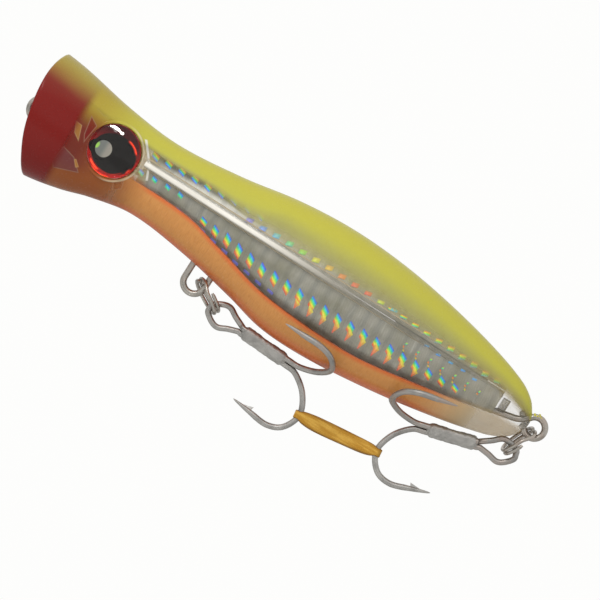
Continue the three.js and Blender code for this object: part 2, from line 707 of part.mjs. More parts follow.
/** Closed band round both lower hooks. */
function rubberBand() {
  const front = bandSeat(frontTrebleHinge, FRONT_TREBLE_PITCH, false, FRONT_EYE_SLACK);
  const rear = bandSeat(rearTrebleHinge, REAR_TREBLE_PITCH, true, REAR_EYE_SLACK);
  const half = front.distanceTo(rear) / 2;
  const loop = (radius) => new THREE.Shape()
    .absarc(half, 0, radius, -Math.PI / 2, Math.PI / 2, false)
    .absarc(-half, 0, radius, Math.PI / 2, (3 * Math.PI) / 2, false);
  const inner = HOOK_WIRE / 2 + BAND_FIT;
  const outline = loop(inner + BAND_THICKNESS);
  outline.holes.push(loop(inner));
  const geometry = new THREE.ExtrudeGeometry(outline, {
    depth: BAND_HEIGHT, bevelEnabled: false, curveSegments: 8,
  });
  geometry.translate(0, 0, -BAND_HEIGHT / 2);
  const mesh = piece('rubber_band', geometry, 'rubber');
  mesh.position.copy(front).add(rear).multiplyScalar(0.5);
  mesh.rotation.y = -Math.atan2(front.z - rear.z, front.x - rear.x);
  return mesh;
}

// ---- rattle -----------------------------------------------------------------

/** Tube with a small hole in each end, and the balls resting at its front end. */
function rattle() {
  const outer = TUBE_DIAMETER / 2;
  const inner = outer - TUBE_WALL;
  const hole = TUBE_END_HOLE / 2;
  const profile = [
    [hole, 0], [outer, 0], [outer, TUBE_LENGTH], [hole, TUBE_LENGTH], [hole, TUBE_LENGTH - TUBE_WALL],
    [inner, TUBE_LENGTH - TUBE_WALL], [inner, TUBE_WALL], [hole, TUBE_WALL], [hole, 0],
  ].map(([radius, along]) => new THREE.Vector2(radius, along));
  const tube = piece('rattle_tube', new THREE.LatheGeometry(profile, ROUND_SIDES / 2), 'tube');
  tube.rotation.z = Math.PI / 2;
  tube.position.set(xAt(tubeFront), 0, TUBE_RISE);
  const group = new THREE.Group();
  group.add(tube);
  for (let i = 0; i < BALL_COUNT; i += 1) {
    const ball = piece(`rattle_ball_${i + 1}`, new THREE.SphereGeometry(ballRadius, ROUND_SIDES / 2, ROUND_SIDES / 3), 'steel');
    const back = tubeFront + TUBE_WALL + BALL_FIT + ballRadius + i * (2 * ballRadius + BALL_FIT);
    ball.position.set(xAt(back), 0, TUBE_RISE);
    group.add(ball);
  }
  return group;
}

// ---- assembly ---------------------------------------------------------------

const wireRoute = throughWireRoute();
const { left, right } = shells(wireRoute);
const upperFoil = foilStrip(() => ridgeMiddle + FOIL_SPLIT / 2, foilHigh, 0);
const lowerFoil = foilStrip(foilLow, () => ridgeMiddle - FOIL_SPLIT / 2, 0);

const popper = new THREE.Group();
popper.add(
  piece('body_shell_left', geometryOf(left), 'clear'),
  piece('body_shell_right', geometryOf(right), 'clear'),
  piece('foil_upper_left', geometryOf(upperFoil), 'foil'),
  piece('foil_lower_left', geometryOf(lowerFoil), 'foil'),
  piece('foil_upper_right', mirrored(geometryOf(upperFoil)), 'foil'),
  piece('foil_lower_right', mirrored(geometryOf(lowerFoil)), 'foil'),
  piece('through_wire', evenWire(wireRoute, WIRE), 'steel'),
  eye(1, 'left'),
  eye(-1, 'right'),
  piece('ballast', lengthwiseRod(BALLAST_DIAMETER / 2, ballastFront, ballastRear, 0, -BALLAST_DROP), 'ballast'),
  rattle(),
  splitRing('front_split_ring', frontRingHinge, FRONT_RING_SWING),
  splitRing('rear_split_ring', rearRingHinge, REAR_RING_SWING),
  treble('front_treble', frontTrebleHinge, FRONT_TREBLE_PITCH, false, FRONT_EYE_SLACK),
  treble('rear_treble', rearTrebleHinge, REAR_TREBLE_PITCH, true, REAR_EYE_SLACK),
  rubberBand(),
);

export default popper;
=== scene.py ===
"""Looks of a topwater popper: clear painted shells over prism foil, a through wire and two treble hooks."""

import logging
import math
from contextlib import contextmanager
from dataclasses import dataclass
from enum import Enum
from typing import Callable, Iterable, Iterator, Sequence

import bmesh
import bpy
import numpy as np
from mathutils import Matrix, Vector


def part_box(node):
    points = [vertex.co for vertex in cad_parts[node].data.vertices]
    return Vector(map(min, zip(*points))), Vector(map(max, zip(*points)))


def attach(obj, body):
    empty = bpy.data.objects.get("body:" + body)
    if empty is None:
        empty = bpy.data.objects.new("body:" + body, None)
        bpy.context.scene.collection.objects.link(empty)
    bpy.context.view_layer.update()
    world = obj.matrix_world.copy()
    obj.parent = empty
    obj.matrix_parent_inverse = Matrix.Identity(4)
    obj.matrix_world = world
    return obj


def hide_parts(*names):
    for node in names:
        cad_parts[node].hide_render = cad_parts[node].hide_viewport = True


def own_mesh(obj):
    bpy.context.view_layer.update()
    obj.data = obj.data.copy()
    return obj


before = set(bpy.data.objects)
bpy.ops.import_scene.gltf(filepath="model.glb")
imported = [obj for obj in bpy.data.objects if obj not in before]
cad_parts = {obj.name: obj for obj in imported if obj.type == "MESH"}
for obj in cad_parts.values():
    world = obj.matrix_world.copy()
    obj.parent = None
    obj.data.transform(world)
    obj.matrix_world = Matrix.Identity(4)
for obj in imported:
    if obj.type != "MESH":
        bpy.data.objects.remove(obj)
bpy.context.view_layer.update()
LOG = logging.getLogger("popper")
MM = 0.001
Colour = tuple[float, float, float]

# How the rings and hooks hang: seats in mm along +X and +Z, angles in degrees.
FRONT_RING_SEAT = (-0.55, 1.05)
REAR_RING_SEAT = (-0.2, -0.5)
FRONT_RING_SWING = 60.0
REAR_RING_SWING = -22.4
FRONT_TREBLE_PITCH = -2.5
REAR_TREBLE_PITCH = 15.7
FRONT_EYE_SLACK = 0.45
REAR_EYE_SLACK = 1.5
BAND_SEAT = 8.2
RATTLE_BALLS = 3


def rgb(red: int, green: int, blue: int) -> Colour:
    """Linear colour of a display colour given in 0 to 255."""
    return tuple(((c / 255 + 0.055) / 1.055) ** 2.4 if c > 10 else c / 3295 for c in (red, green, blue))


# ---- shader maths -------------------------------------------------------------


class Value:
    """A number socket that can be added, multiplied and compared in an expression."""

    def __init__(self, shader: "Shader", socket: bpy.types.NodeSocket) -> None:
        """Keeps the shader that makes new nodes, and the socket."""
        self.shader = shader
        self.socket = socket

    def math(self, operation: str, *others: "Value | float") -> "Value":
        """Adds one Math node.

        Args:
            operation: name of the Math node's operation.
            others: the further operands.

        Returns:
            The node's result.
        """
        inputs = {i: v for i, v in enumerate((self, *others))}
        return self.shader.value("ShaderNodeMath", {"operation": operation}, inputs)

    def __add__(self, other: "Value | float") -> "Value":
        """Sum."""
        return self.math("ADD", other)

    __radd__ = __add__

    def __sub__(self, other: "Value | float") -> "Value":
        """Difference."""
        return self.math("SUBTRACT", other)

    def __rsub__(self, other: float) -> "Value":
        """Difference from a number."""
        return (self * -1.0).math("ADD", other)

    def __mul__(self, other: "Value | float") -> "Value":
        """Product."""
        return self.math("MULTIPLY", other)

    __rmul__ = __mul__

    def __truediv__(self, other: "Value | float") -> "Value":
        """Quotient."""
        return self.math("DIVIDE", other)

    def top(self, other: "Value | float") -> "Value":
        """The larger of the two."""
        return self.math("MAXIMUM", other)

    def low(self, other: "Value | float") -> "Value":
        """The smaller of the two."""
        return self.math("MINIMUM", other)

    def step(self, start: float, end: float) -> "Value":
        """Smooth rise from 0 at start to 1 at end; it falls where end is below start."""
        low, high, first, last = (start, end, 0.0, 1.0) if start < end else (end, start, 1.0, 0.0)
        return self.shader.value(
            "ShaderNodeMapRange",
            {"interpolation_type": "SMOOTHSTEP"},
            {"Value": self, "From Min": low, "From Max": high, "To Min": first, "To Max": last},
        )

    def band(self, start: float, end: float, soft: float) -> "Value":
        """1 between start and end, with soft edges."""
        return self.step(start - soft, start + soft) * self.step(end + soft, end - soft)


class Shader:
    """One material with its node tree."""

    def __init__(self, name: str) -> None:
        """Makes an empty material with an output node."""
        self.material = bpy.data.materials.new(name)
        self.material.use_nodes = True
        self.tree = self.material.node_tree
        self.tree.nodes.clear()
        self.output = self.tree.nodes.new("ShaderNodeOutputMaterial")

    def node(self, kind: str, settings: dict | None = None, inputs: dict | None = None) -> bpy.types.Node:
        """Adds a node of any kind.

        Args:
            kind: the node's type.
            settings: its properties; "stops" holds a ramp's positions and colours.
            inputs: numbers, colours or links for its sockets, by name or by place.

        Returns:
            The node.
        """
        node = self.tree.nodes.new(kind)
        for key, value in (settings or {}).items():
            if key == "stops":
                elements = node.color_ramp.elements
                while len(elements) < len(value):
                    elements.new(0.5)
                for element, (place, colour) in zip(elements, value):
                    element.position = place
                    element.color = (*colour, 1.0)
            else:
                setattr(node, key, value)
        for key, value in (inputs or {}).items():
            self.feed(node.inputs[key], value)
        return node

    def feed(self, socket: bpy.types.NodeSocket, value: object) -> None:
        """Sets a socket to a number or colour, or links it."""
        if isinstance(value, Value):
            value = value.socket
        if isinstance(value, bpy.types.NodeSocket):
            self.tree.links.new(value, socket)
        elif isinstance(value, tuple) and socket.type == "RGBA":
            socket.default_value = (*value, 1.0)[:4]
        else:
            socket.default_value = value

    def value(self, kind: str, settings: dict, inputs: dict, output: int | str = 0) -> Value:
        """Adds a node and returns one of its number outputs."""
        return Value(self, self.node(kind, settings, inputs).outputs[output])

    def attribute(self, name: str) -> Value:
        """The piece's own number attribute of that name."""
        return self.value("ShaderNodeAttribute", {"attribute_name": name}, {}, "Fac")

    def place(self) -> bpy.types.NodeSocket:
        """Object coordinates in metres."""
        return self.node("ShaderNodeTexCoord").outputs["Object"]

    def axes(self) -> tuple[Value, Value, Value]:
        """Object coordinates in millimetres, one by one."""
        node = self.node("ShaderNodeSeparateXYZ", {}, {0: self.place()})
        return tuple(Value(self, socket) * (1 / MM) for socket in node.outputs)

    def noise(self, size_mm: float, detail: float = 3.0, stretch: Sequence[float] = (1, 1, 1)) -> Value:
        """Noise with features of about that size; stretch makes them longer along an axis."""
        mapped = self.node(
            "ShaderNodeMapping", {}, {"Vector": self.place(), "Scale": Vector([1 / s for s in stretch])},
        )
        return self.value(
            "ShaderNodeTexNoise", {},
            {"Vector": mapped.outputs[0], "Scale": 1 / (size_mm * MM), "Detail": detail},
        )

    def blend(self, share: Value | float, first: object, second: object) -> bpy.types.NodeSocket:
        """Mixes two colours."""
        node = self.node("ShaderNodeMix", {"data_type": "RGBA"}, {0: share, 6: first, 7: second})
        return node.outputs[2]

    def ramp(self, share: Value, stops: Sequence[tuple[float, Colour]]) -> bpy.types.NodeSocket:
        """Colour ramp."""
        return self.node("ShaderNodeValToRGB", {"stops": stops}, {0: share}).outputs[0]

    def bump(self, height: Value, depth_mm: float, strength: float = 1.0) -> bpy.types.NodeSocket:
        """Relief from a height between 0 and 1."""
        inputs = {"Height": height, "Distance": depth_mm * MM, "Strength": strength}
        return self.node("ShaderNodeBump", {}, inputs).outputs[0]

    def principled(self, **inputs: object) -> bpy.types.Node:
        """Adds the surface; underscores in the names stand for spaces."""
        return self.node(
            "ShaderNodeBsdfPrincipled", {}, {key.replace("_", " "): v for key, v in inputs.items()},
        )

    def finish(self, surface: bpy.types.Node, cover: Value | None = None) -> bpy.types.Material:
        """Ends the tree.

        Args:
            surface: the shader node that shows.
            cover: where it shows; the rest is see-through. None covers all.

        Returns:
            The material.
        """
        if cover is not None:
            clear = self.node("ShaderNodeBsdfTransparent")
            surface = self.node(
                "ShaderNodeMixShader", {}, {0: cover, 1: clear.outputs[0], 2: surface.outputs[0]},
            )
        self.feed(self.output.inputs["Surface"], surface.outputs[0])
        return self.material


# ---- body form ------------------------------------------------------------------


class Profile:
    """A smooth function through pairs of station and value."""

    def __init__(self, *pairs: tuple[float, float]) -> None:
        """Works out the slopes at the stations."""
        self.at, self.value = np.array(pairs, float).T
        ends = np.arange(len(pairs))
        before, after = np.maximum(ends - 1, 0), np.minimum(ends + 1, len(pairs) - 1)
        self.slope = (self.value[after] - self.value[before]) / (self.at[after] - self.at[before])

    def __call__(self, station: np.ndarray | float) -> np.ndarray:
        """Value at one or more stations."""
        at = np.clip(station, self.at[0], self.at[-1])
        i = np.clip(np.searchsorted(self.at, at, side="right") - 1, 0, len(self.at) - 2)
        span = self.at[i + 1] - self.at[i]
        t = (at - self.at[i]) / span
        h = t * t * (3 - 2 * t)
        bend = t * (1 - t) * ((1 - t) * self.slope[i] - t * self.slope[i + 1]) * span
        return self.value[i] * (1 - h) + self.value[i + 1] * h + bend


class BodyForm:
    """The popper's outside. "back" is the distance in mm behind the foremost lip point."""

    length = 130.0
    height = 29.8
    width = 24.0
    setback = 2.6
    lean = 6.7
    _back = Profile(
        (-0.03, 0.475), (0.045, 0.445), (0.15, 0.365), (0.25, 0.329), (0.37, 0.381), (0.475, 0.461),
        (0.575, 0.495), (0.675, 0.477), (0.775, 0.417), (0.88, 0.319), (0.955, 0.215), (0.985, 0.13),
        (1, 0.04),
    )
    _belly = Profile(
        (-0.03, -0.5), (0.06, -0.47), (0.12, -0.416), (0.17, -0.349), (0.245, -0.289), (0.35, -0.33),
        (0.46, -0.42), (0.525, -0.487), (0.59, -0.503), (0.675, -0.48), (0.81, -0.399), (0.945, -0.268),
        (0.985, -0.18), (1, -0.09),
    )
    _flank = Profile(
        (-0.03, 0.54), (0.06, 0.5), (0.15, 0.4), (0.25, 0.345), (0.37, 0.385), (0.48, 0.465),
        (0.58, 0.5), (0.68, 0.485), (0.8, 0.405), (0.9, 0.3), (0.965, 0.19), (0.99, 0.12), (1, 0.05),
    )
    _face = Profile(
        (-0.62, 1.6), (-0.47, 1), (-0.37, 0.72), (-0.19, 0.36), (0.03, 0.11), (0.22, 0), (0.35, 0.03),
        (0.466, 0.18), (0.62, 0.5),
    )
    _foil_edge = Profile(
        (0.2, -0.065), (0.33, -0.08), (0.4, -0.155), (0.51, -0.265), (0.68, -0.295), (0.8, -0.22),
        (0.95, -0.1),
    )

    def x(self, back: np.ndarray | float) -> np.ndarray:
        """Lengthwise place in mm."""
        return self.setback - np.asarray(back, float)

    def top(self, back: np.ndarray | float) -> np.ndarray:
        """Height of the back."""
        return self._back(np.asarray(back) / self.length) * self.height

    def bottom(self, back: np.ndarray | float) -> np.ndarray:
        """Height of the belly."""
        return self._belly(np.asarray(back) / self.length) * self.height

    def half_width(self, back: np.ndarray | float) -> np.ndarray:
        """Half the width."""
        return self._flank(np.asarray(back) / self.length) * self.width

    def face(self, z: np.ndarray | float) -> np.ndarray:
        """How far back the mouth's face is at a height."""
        return self._face(np.asarray(z) / self.height) * self.lean

    def foil_edge(self, back: np.ndarray | float) -> np.ndarray:
        """Height of the foil's lower edge."""
        return self._foil_edge(np.asarray(back) / self.length) * self.height

    def at(self, back: np.ndarray, angle: np.ndarray, inset: np.ndarray | float = 0.0) -> np.ndarray:
        """Point of the left half.

        Args:
            back: places behind the lip.
            angle: from -pi/2 at the belly to pi/2 at the back.
            inset: depth below the surface.

        Returns:
            Points in mm.
        """
        top, bottom = self.top(back) - inset, self.bottom(back) + inset
        y = np.cos(angle) * (self.half_width(back) - inset)
        z = (top + bottom) / 2 + np.sin(angle) * (top - bottom) / 2
        return np.stack(np.broadcast_arrays(self.x(back), y, z), -1)

    def share(self, back: np.ndarray, z: np.ndarray, inset: float = 0.0) -> np.ndarray:
        """Height as a share of the half height there, from -1 at the belly to 1 at the back."""
        top, bottom = self.top(back) - inset, self.bottom(back) + inset
        return np.clip((2 * z - top - bottom) / (top - bottom), -1, 1)

    def flank_at(self, back: np.ndarray, z: np.ndarray, inset: float = 0.0) -> np.ndarray:
        """Point of the left flank at a height."""
        back, z = np.broadcast_arrays(np.asarray(back, float), np.asarray(z, float))
        y = (self.half_width(back) - inset) * np.sqrt(np.maximum(1 - self.share(back, z, inset) ** 2, 0))
        return np.stack([self.x(back), y, z], -1)


FORM = BodyForm()


class Side(Enum):
    """The two sides of the lure."""

    LEFT = 1
    RIGHT = -1

    @property
    def label(self) -> str:
        """Ending of a piece's name."""
        return self.name.lower()


# ---- meshes ---------------------------------------------------------------------


def linked(name: str, data: bpy.types.ID) -> bpy.types.Object:
    """New object of the given data, in the scene."""
    obj = bpy.data.objects.new(name, data)
    bpy.context.scene.collection.objects.link(obj)
    return obj


@contextmanager
def edited(mesh: bpy.types.Mesh) -> Iterator[bmesh.types.BMesh]:
    """Opens a mesh for editing and writes it back."""
    bm = bmesh.new()
    bm.from_mesh(mesh)
    yield bm
    bm.to_mesh(mesh)
    bm.free()


def mesh_object(name: str, points: np.ndarray, faces: Iterable[Sequence[int]]) -> bpy.types.Object:
    """Object of one mesh.

    Args:
        name: the piece's name.
        points: corners in mm.
        faces: corner numbers of each face.

    Returns:
        The object, with its place in its mesh.
    """
    mesh = bpy.data.meshes.new(name)
    mesh.from_pydata((np.asarray(points, float).reshape(-1, 3) * MM).tolist(), [], [list(f) for f in faces])
    mesh.validate()
    return linked(name, mesh)


def strip_faces(rows: int, columns: int, closed: bool, start: int = 0) -> list[tuple[int, int, int, int]]:
    """Faces between the rows of a grid of points.

    Args:
        rows: how many rows.
        columns: points in a row.
        closed: whether each row is a ring.
        start: number of the first point.

    Returns:
        Corner numbers of the faces.
    """
    faces = []
    for i in range(rows - 1):
        for k in range(columns if closed else columns - 1):
            a, b = start + i * columns + k, start + i * columns + (k + 1) % columns
            faces.append((a, b, b + columns, a + columns))
    return faces


def tidy(obj: bpy.types.Object, merge_mm: float = 0.001, crease: float = 40.0) -> bpy.types.Object:
    """Merges doubles, points the faces outwards and smooths all but the sharp edges."""
    with edited(obj.data) as bm:
        bmesh.ops.remove_doubles(bm, verts=bm.verts, dist=merge_mm * MM)
        bmesh.ops.dissolve_degenerate(bm, edges=bm.edges, dist=merge_mm * MM * 0.1)
        bmesh.ops.recalc_face_normals(bm, faces=bm.faces)
    obj.data.shade_smooth()
    obj.data.set_sharp_from_angle(angle=math.radians(crease))
    return obj


def lofted(name: str, rings: np.ndarray, crease: float = 40.0) -> bpy.types.Object:
    """Closed body through rings of points, with flat ends."""
    rows, columns = rings.shape[:2]
    faces = strip_faces(rows, columns, True)
    faces += [tuple(range(columns)), tuple(range((rows - 1) * columns, rows * columns))]
    return tidy(mesh_object(name, rings, faces), crease=crease)


def lathe(
    name: str, profile: Sequence[tuple[float, float]], place: Matrix, sides: int = 64
) -> bpy.types.Object:
    """Body turned about local Y.

    Args:
        name: the piece's name.
        profile: radius and height pairs in mm, from one end of the axis to the other or closed.
        place: where the local frame stands, in mm.
        sides: facets round the axis.

    Returns:
        The object.
    """
    turn = np.linspace(0, 2 * math.pi, sides, endpoint=False)
    rings = np.array([[(r * math.cos(a), h, r * math.sin(a)) for a in turn] for r, h in profile])
    world = np.array(place)
    rings = rings @ world[:3, :3].T + world[:3, 3]
    obj = mesh_object(name, rings, strip_faces(len(profile), sides, True))
    return tidy(obj)


def mirror(obj: bpy.types.Object, side: Side) -> bpy.types.Object:
    """Turns a left piece into a right one where the side asks for it."""
    if side is Side.RIGHT:
        obj.data.transform(Matrix.Diagonal((1, -1, 1, 1)))
        obj.data.flip_normals()
    return obj


def combine(obj: bpy.types.Object, other: bpy.types.Object, operation: str) -> bpy.types.Object:
    """Joins or cuts one closed body with another, which is used up."""
    cut = obj.modifiers.new("cut", "BOOLEAN")
    cut.operation, cut.object, cut.solver = operation, other, "MANIFOLD"
    return baked(obj, drop=other)


def baked(obj: bpy.types.Object, drop: bpy.types.Object | None = None) -> bpy.types.Object:
    """Turns an object's modifiers into a plain mesh and removes them."""
    bpy.context.view_layer.update()
    mesh = bpy.data.meshes.new_from_object(obj.evaluated_get(bpy.context.evaluated_depsgraph_get()))
    mesh.name = obj.name
    obj.modifiers.clear()
    obj.data = mesh
    if drop is not None:
        bpy.data.objects.remove(drop)
    return obj


def joined(name: str, parts: Sequence[bpy.types.Object]) -> bpy.types.Object:
    """One object out of several, which are used up."""
    bm = bmesh.new()
    for part in parts:
        bm.from_mesh(part.data)
    mesh = bpy.data.meshes.new(name)
    for material in parts[0].data.materials:
        mesh.materials.append(material)
    bm.to_mesh(mesh)
    bm.free()
    for part in parts:
        bpy.data.objects.remove(part)
    return linked(name, mesh)


def add_attribute(obj: bpy.types.Object, name: str, values: np.ndarray) -> None:
    """Stores one number for each corner of the mesh."""
    layer = obj.data.attributes.new(name, "FLOAT", "POINT")
    layer.data.foreach_set("value", np.asarray(values, np.float32))


def corners(obj: bpy.types.Object) -> np.ndarray:
    """The mesh's points in mm."""
    co = np.zeros(len(obj.data.vertices) * 3)
    obj.data.vertices.foreach_get("co", co)
    return co.reshape(-1, 3) / MM


# ---- node-made geometry -----------------------------------------------------------


class Tree:
    """A Geometry Nodes tree with named inputs."""

    def __init__(self, name: str, **inputs: str) -> None:
        """Makes the tree.

        Args:
            name: its name.
            inputs: socket type of each named input after the geometry.
        """
        self.tree = bpy.data.node_groups.new(name, "GeometryNodeTree")
        face = self.tree.interface
        face.new_socket("Geometry", in_out="INPUT", socket_type="NodeSocketGeometry")
        self.sockets = {
            key: face.new_socket(key, in_out="INPUT", socket_type=kind).identifier
            for key, kind in inputs.items()
        }
        face.new_socket("Geometry", in_out="OUTPUT", socket_type="NodeSocketGeometry")
        self.start = self.tree.nodes.new("NodeGroupInput")

    def node(self, kind: str, settings: dict | None = None, inputs: dict | None = None) -> bpy.types.Node:
        """Adds a node with its settings, then its values or links."""
        node = self.tree.nodes.new(kind)
        for key, value in (settings or {}).items():
            setattr(node, key, value)
        for key, value in (inputs or {}).items():
            if isinstance(value, bpy.types.NodeSocket):
                self.tree.links.new(value, node.inputs[key])
            else:
                node.inputs[key].default_value = value
        return node

    def given(self, name: str) -> bpy.types.NodeSocket:
        """One of the tree's inputs."""
        return self.start.outputs[name]

    def end(self, geometry: bpy.types.NodeSocket) -> None:
        """Realizes the result, gives it the material and ends the tree."""
        real = self.node("GeometryNodeRealizeInstances", {}, {0: geometry})
        smooth = self.node("GeometryNodeSetShadeSmooth", {}, {0: real.outputs[0]})
        dressed = self.node(
            "GeometryNodeSetMaterial", {}, {0: smooth.outputs[0], "Material": self.given("Material")},
        )
        self.node("NodeGroupOutput", {}, {0: dressed.outputs[0]})

    def grow(self, obj: bpy.types.Object, **values: object) -> bpy.types.Object:
        """Runs the tree on an object.

        Args:
            obj: the object that holds the path or the places.
            values: the tree's inputs by name.

        Returns:
            The same object as a plain mesh.
        """
        modifier = obj.modifiers.new("grow", "NODES")
        modifier.node_group = self.tree
        for key, value in values.items():
            modifier[self.sockets[key]] = value
        return baked(obj)


def wire_tree() -> Tree:
    """Round wire along a path that holds its radius at each point."""
    tree = Tree("wire_along_path", Sides="NodeSocketInt", Material="NodeSocketMaterial")
    path = tree.node("GeometryNodeMeshToCurve", {}, {0: tree.given("Geometry")})
    radius = tree.node("GeometryNodeInputNamedAttribute", {"data_type": "FLOAT"}, {"Name": "wire_radius"})
    ring = tree.node(
        "GeometryNodeCurvePrimitiveCircle", {}, {"Resolution": tree.given("Sides"), "Radius": 1.0},
    )
    wire = tree.node(
        "GeometryNodeCurveToMesh", {},
        {
            "Curve": path.outputs[0], "Profile Curve": ring.outputs[0], "Scale": radius.outputs[0],
            "Fill Caps": True,
        },
    )
    tree.end(wire.outputs[0])
    return tree


def tile_tree() -> Tree:
    """A small tile on every point, turned and sized by the point's own attributes."""
    tree = Tree("tiles_on_foil", Tile="NodeSocketObject", Material="NodeSocketMaterial")
    tile = tree.node("GeometryNodeObjectInfo", {}, {"Object": tree.given("Tile")})
    turn = tree.node("GeometryNodeInputNamedAttribute", {"data_type": "FLOAT_VECTOR"}, {"Name": "turn"})
    size = tree.node("GeometryNodeInputNamedAttribute", {"data_type": "FLOAT_VECTOR"}, {"Name": "size"})
    rotation = tree.node("FunctionNodeEulerToRotation", {}, {0: turn.outputs[0]})
    tiles = tree.node("GeometryNodeInstanceOnPoints", {}, {
        "Points": tree.given("Geometry"), "Instance": tile.outputs["Geometry"],
        "Rotation": rotation.outputs[0], "Scale": size.outputs[0],
    })
    tree.end(tiles.outputs[0])
    return tree


def wire_body(
    name: str, points: np.ndarray, radii: np.ndarray | float, tree: Tree, material: bpy.types.Material,
    sides: int = 20,
) -> bpy.types.Object:
    """Wire piece along a path.

    Args:
        name: the piece's name.
        points: path in mm.
        radii: one radius, or one for each point, in mm.
        tree: the wire tree.
        material: its finish.
        sides: facets round the wire.

    Returns:
        The piece as a plain mesh.
    """
    mesh = bpy.data.meshes.new(name)
    mesh.from_pydata((points * MM).tolist(), [(i, i + 1) for i in range(len(points) - 1)], [])
    obj = linked(name, mesh)
    add_attribute(obj, "wire_radius", np.broadcast_to(radii, len(points)) * MM)
    tree.grow(obj, Sides=sides, Material=material)
    return tidy(obj, merge_mm=0.0005)


# ---- paths ------------------------------------------------------------------------


def smooth_path(places: Sequence[Sequence[float]], steps: int) -> np.ndarray:
    """Even-parameter points of a curve through the given places."""
    knots = np.array(places, float)
    last = len(knots) - 1
    knots = np.vstack([2 * knots[0] - knots[1], knots, 2 * knots[-1] - knots[-2]])
    result = []
    for step in range(steps + 1):
        at = step / steps * last
        i = min(int(at), last - 1)
        t = at - i
        p0, p1, p2, p3 = knots[i : i + 4]
        m1, m2 = (p2 - p0) / 2, (p3 - p1) / 2
        a, b = 2 * t**3 - 3 * t**2 + 1, t**3 - 2 * t**2 + t
        c, d = -2 * t**3 + 3 * t**2, t**3 - t**2
        result.append(a * p1 + b * m1 + c * p2 + d * m2)
    return np.array(result)


def arc(centre: Sequence[float], radius: float, start: float, end: float, steps: int) -> np.ndarray:
    """Points of an arc in the upright lengthwise plane, angles in degrees."""
    angle = np.radians(np.linspace(start, end, steps + 1))
    return np.stack([centre[0] + np.cos(angle) * radius, 0 * angle, centre[1] + np.sin(angle) * radius], -1)


def rounded(corner_places: Sequence[Sequence[float]], radius: float, steps: int = 10) -> np.ndarray:
    """A polyline with its inner corners rounded."""
    spots = [np.array(c, float) for c in corner_places]
    route = [spots[0]]
    for before, corner, after in zip(spots, spots[1:], spots[2:]):
        back, on = before - corner, after - corner
        reach = min(radius, np.linalg.norm(back) / 2.2, np.linalg.norm(on) / 2.2)
        start = corner + back / np.linalg.norm(back) * reach
        end = corner + on / np.linalg.norm(on) * reach
        for t in np.linspace(0, 1, steps + 1):
            route.append((1 - t) ** 2 * start + 2 * t * (1 - t) * corner + t * t * end)
    return np.array(route + [spots[-1]])


def turned(points: np.ndarray, degrees: float, axis: str) -> np.ndarray:
    """Points turned about one of the axes."""
    return points @ np.array(Matrix.Rotation(math.radians(degrees), 3, axis)).T


# ---- finishes -----------------------------------------------------------------------


@dataclass(frozen=True)
class Finish:
    """A finish that can be made into a material."""

    name: str

    def material(self) -> bpy.types.Material:
        """Builds the material."""
        raise NotImplementedError


# Webs and gussets between the cup and the eyes: corners in distance along and height, and tint.
FACETS: dict[str, tuple[list[tuple[float, float]], Colour]] = {
    "upper_web": (
        [(13.3, 6.8), (14.6, 8.9), (20.0, 9.1), (21.2, 8.2), (18.8, 7.4), (15.4, 6.2)], rgb(136, 108, 62),
    ),
    "nose_sliver": ([(10.9, 2.2), (12.6, 2.0), (13.8, -1.4), (12.0, -0.2)], rgb(176, 128, 62)),
    "cheek_web": ([(13.2, 4.9), (15.4, 3.6), (14.9, -1.0), (14.0, 0.6)], rgb(122, 26, 24)),
    "lower_gusset": (
        [(11.6, -4.0), (14.8, -4.8), (17.4, -7.2), (12.0, -9.2), (11.2, -8.0)], rgb(122, 66, 66),
    ),
    "lower_sliver": ([(15.4, -4.9), (16.8, -6.1), (16.2, -6.6), (15.0, -5.2)], rgb(190, 132, 54)),
    "rear_web": ([(24.6, -4.6), (26.6, -2.6), (27.2, -5.2), (25.6, -6.4)], rgb(172, 104, 60)),
}


# Moulded bracket that joins the eye socket to the ridge, painted as pale bars that stand for the light it
# catches: two bars, same coordinates.
BRACKET: tuple[list[tuple[float, float]], ...] = (
    [(25.6, 6.8), (26.2, 7.0), (29.5, 3.2), (28.9, 3.0)],
    [(28.9, 3.3), (29.5, 3.3), (31.2, -0.6), (30.6, -0.8)],
)


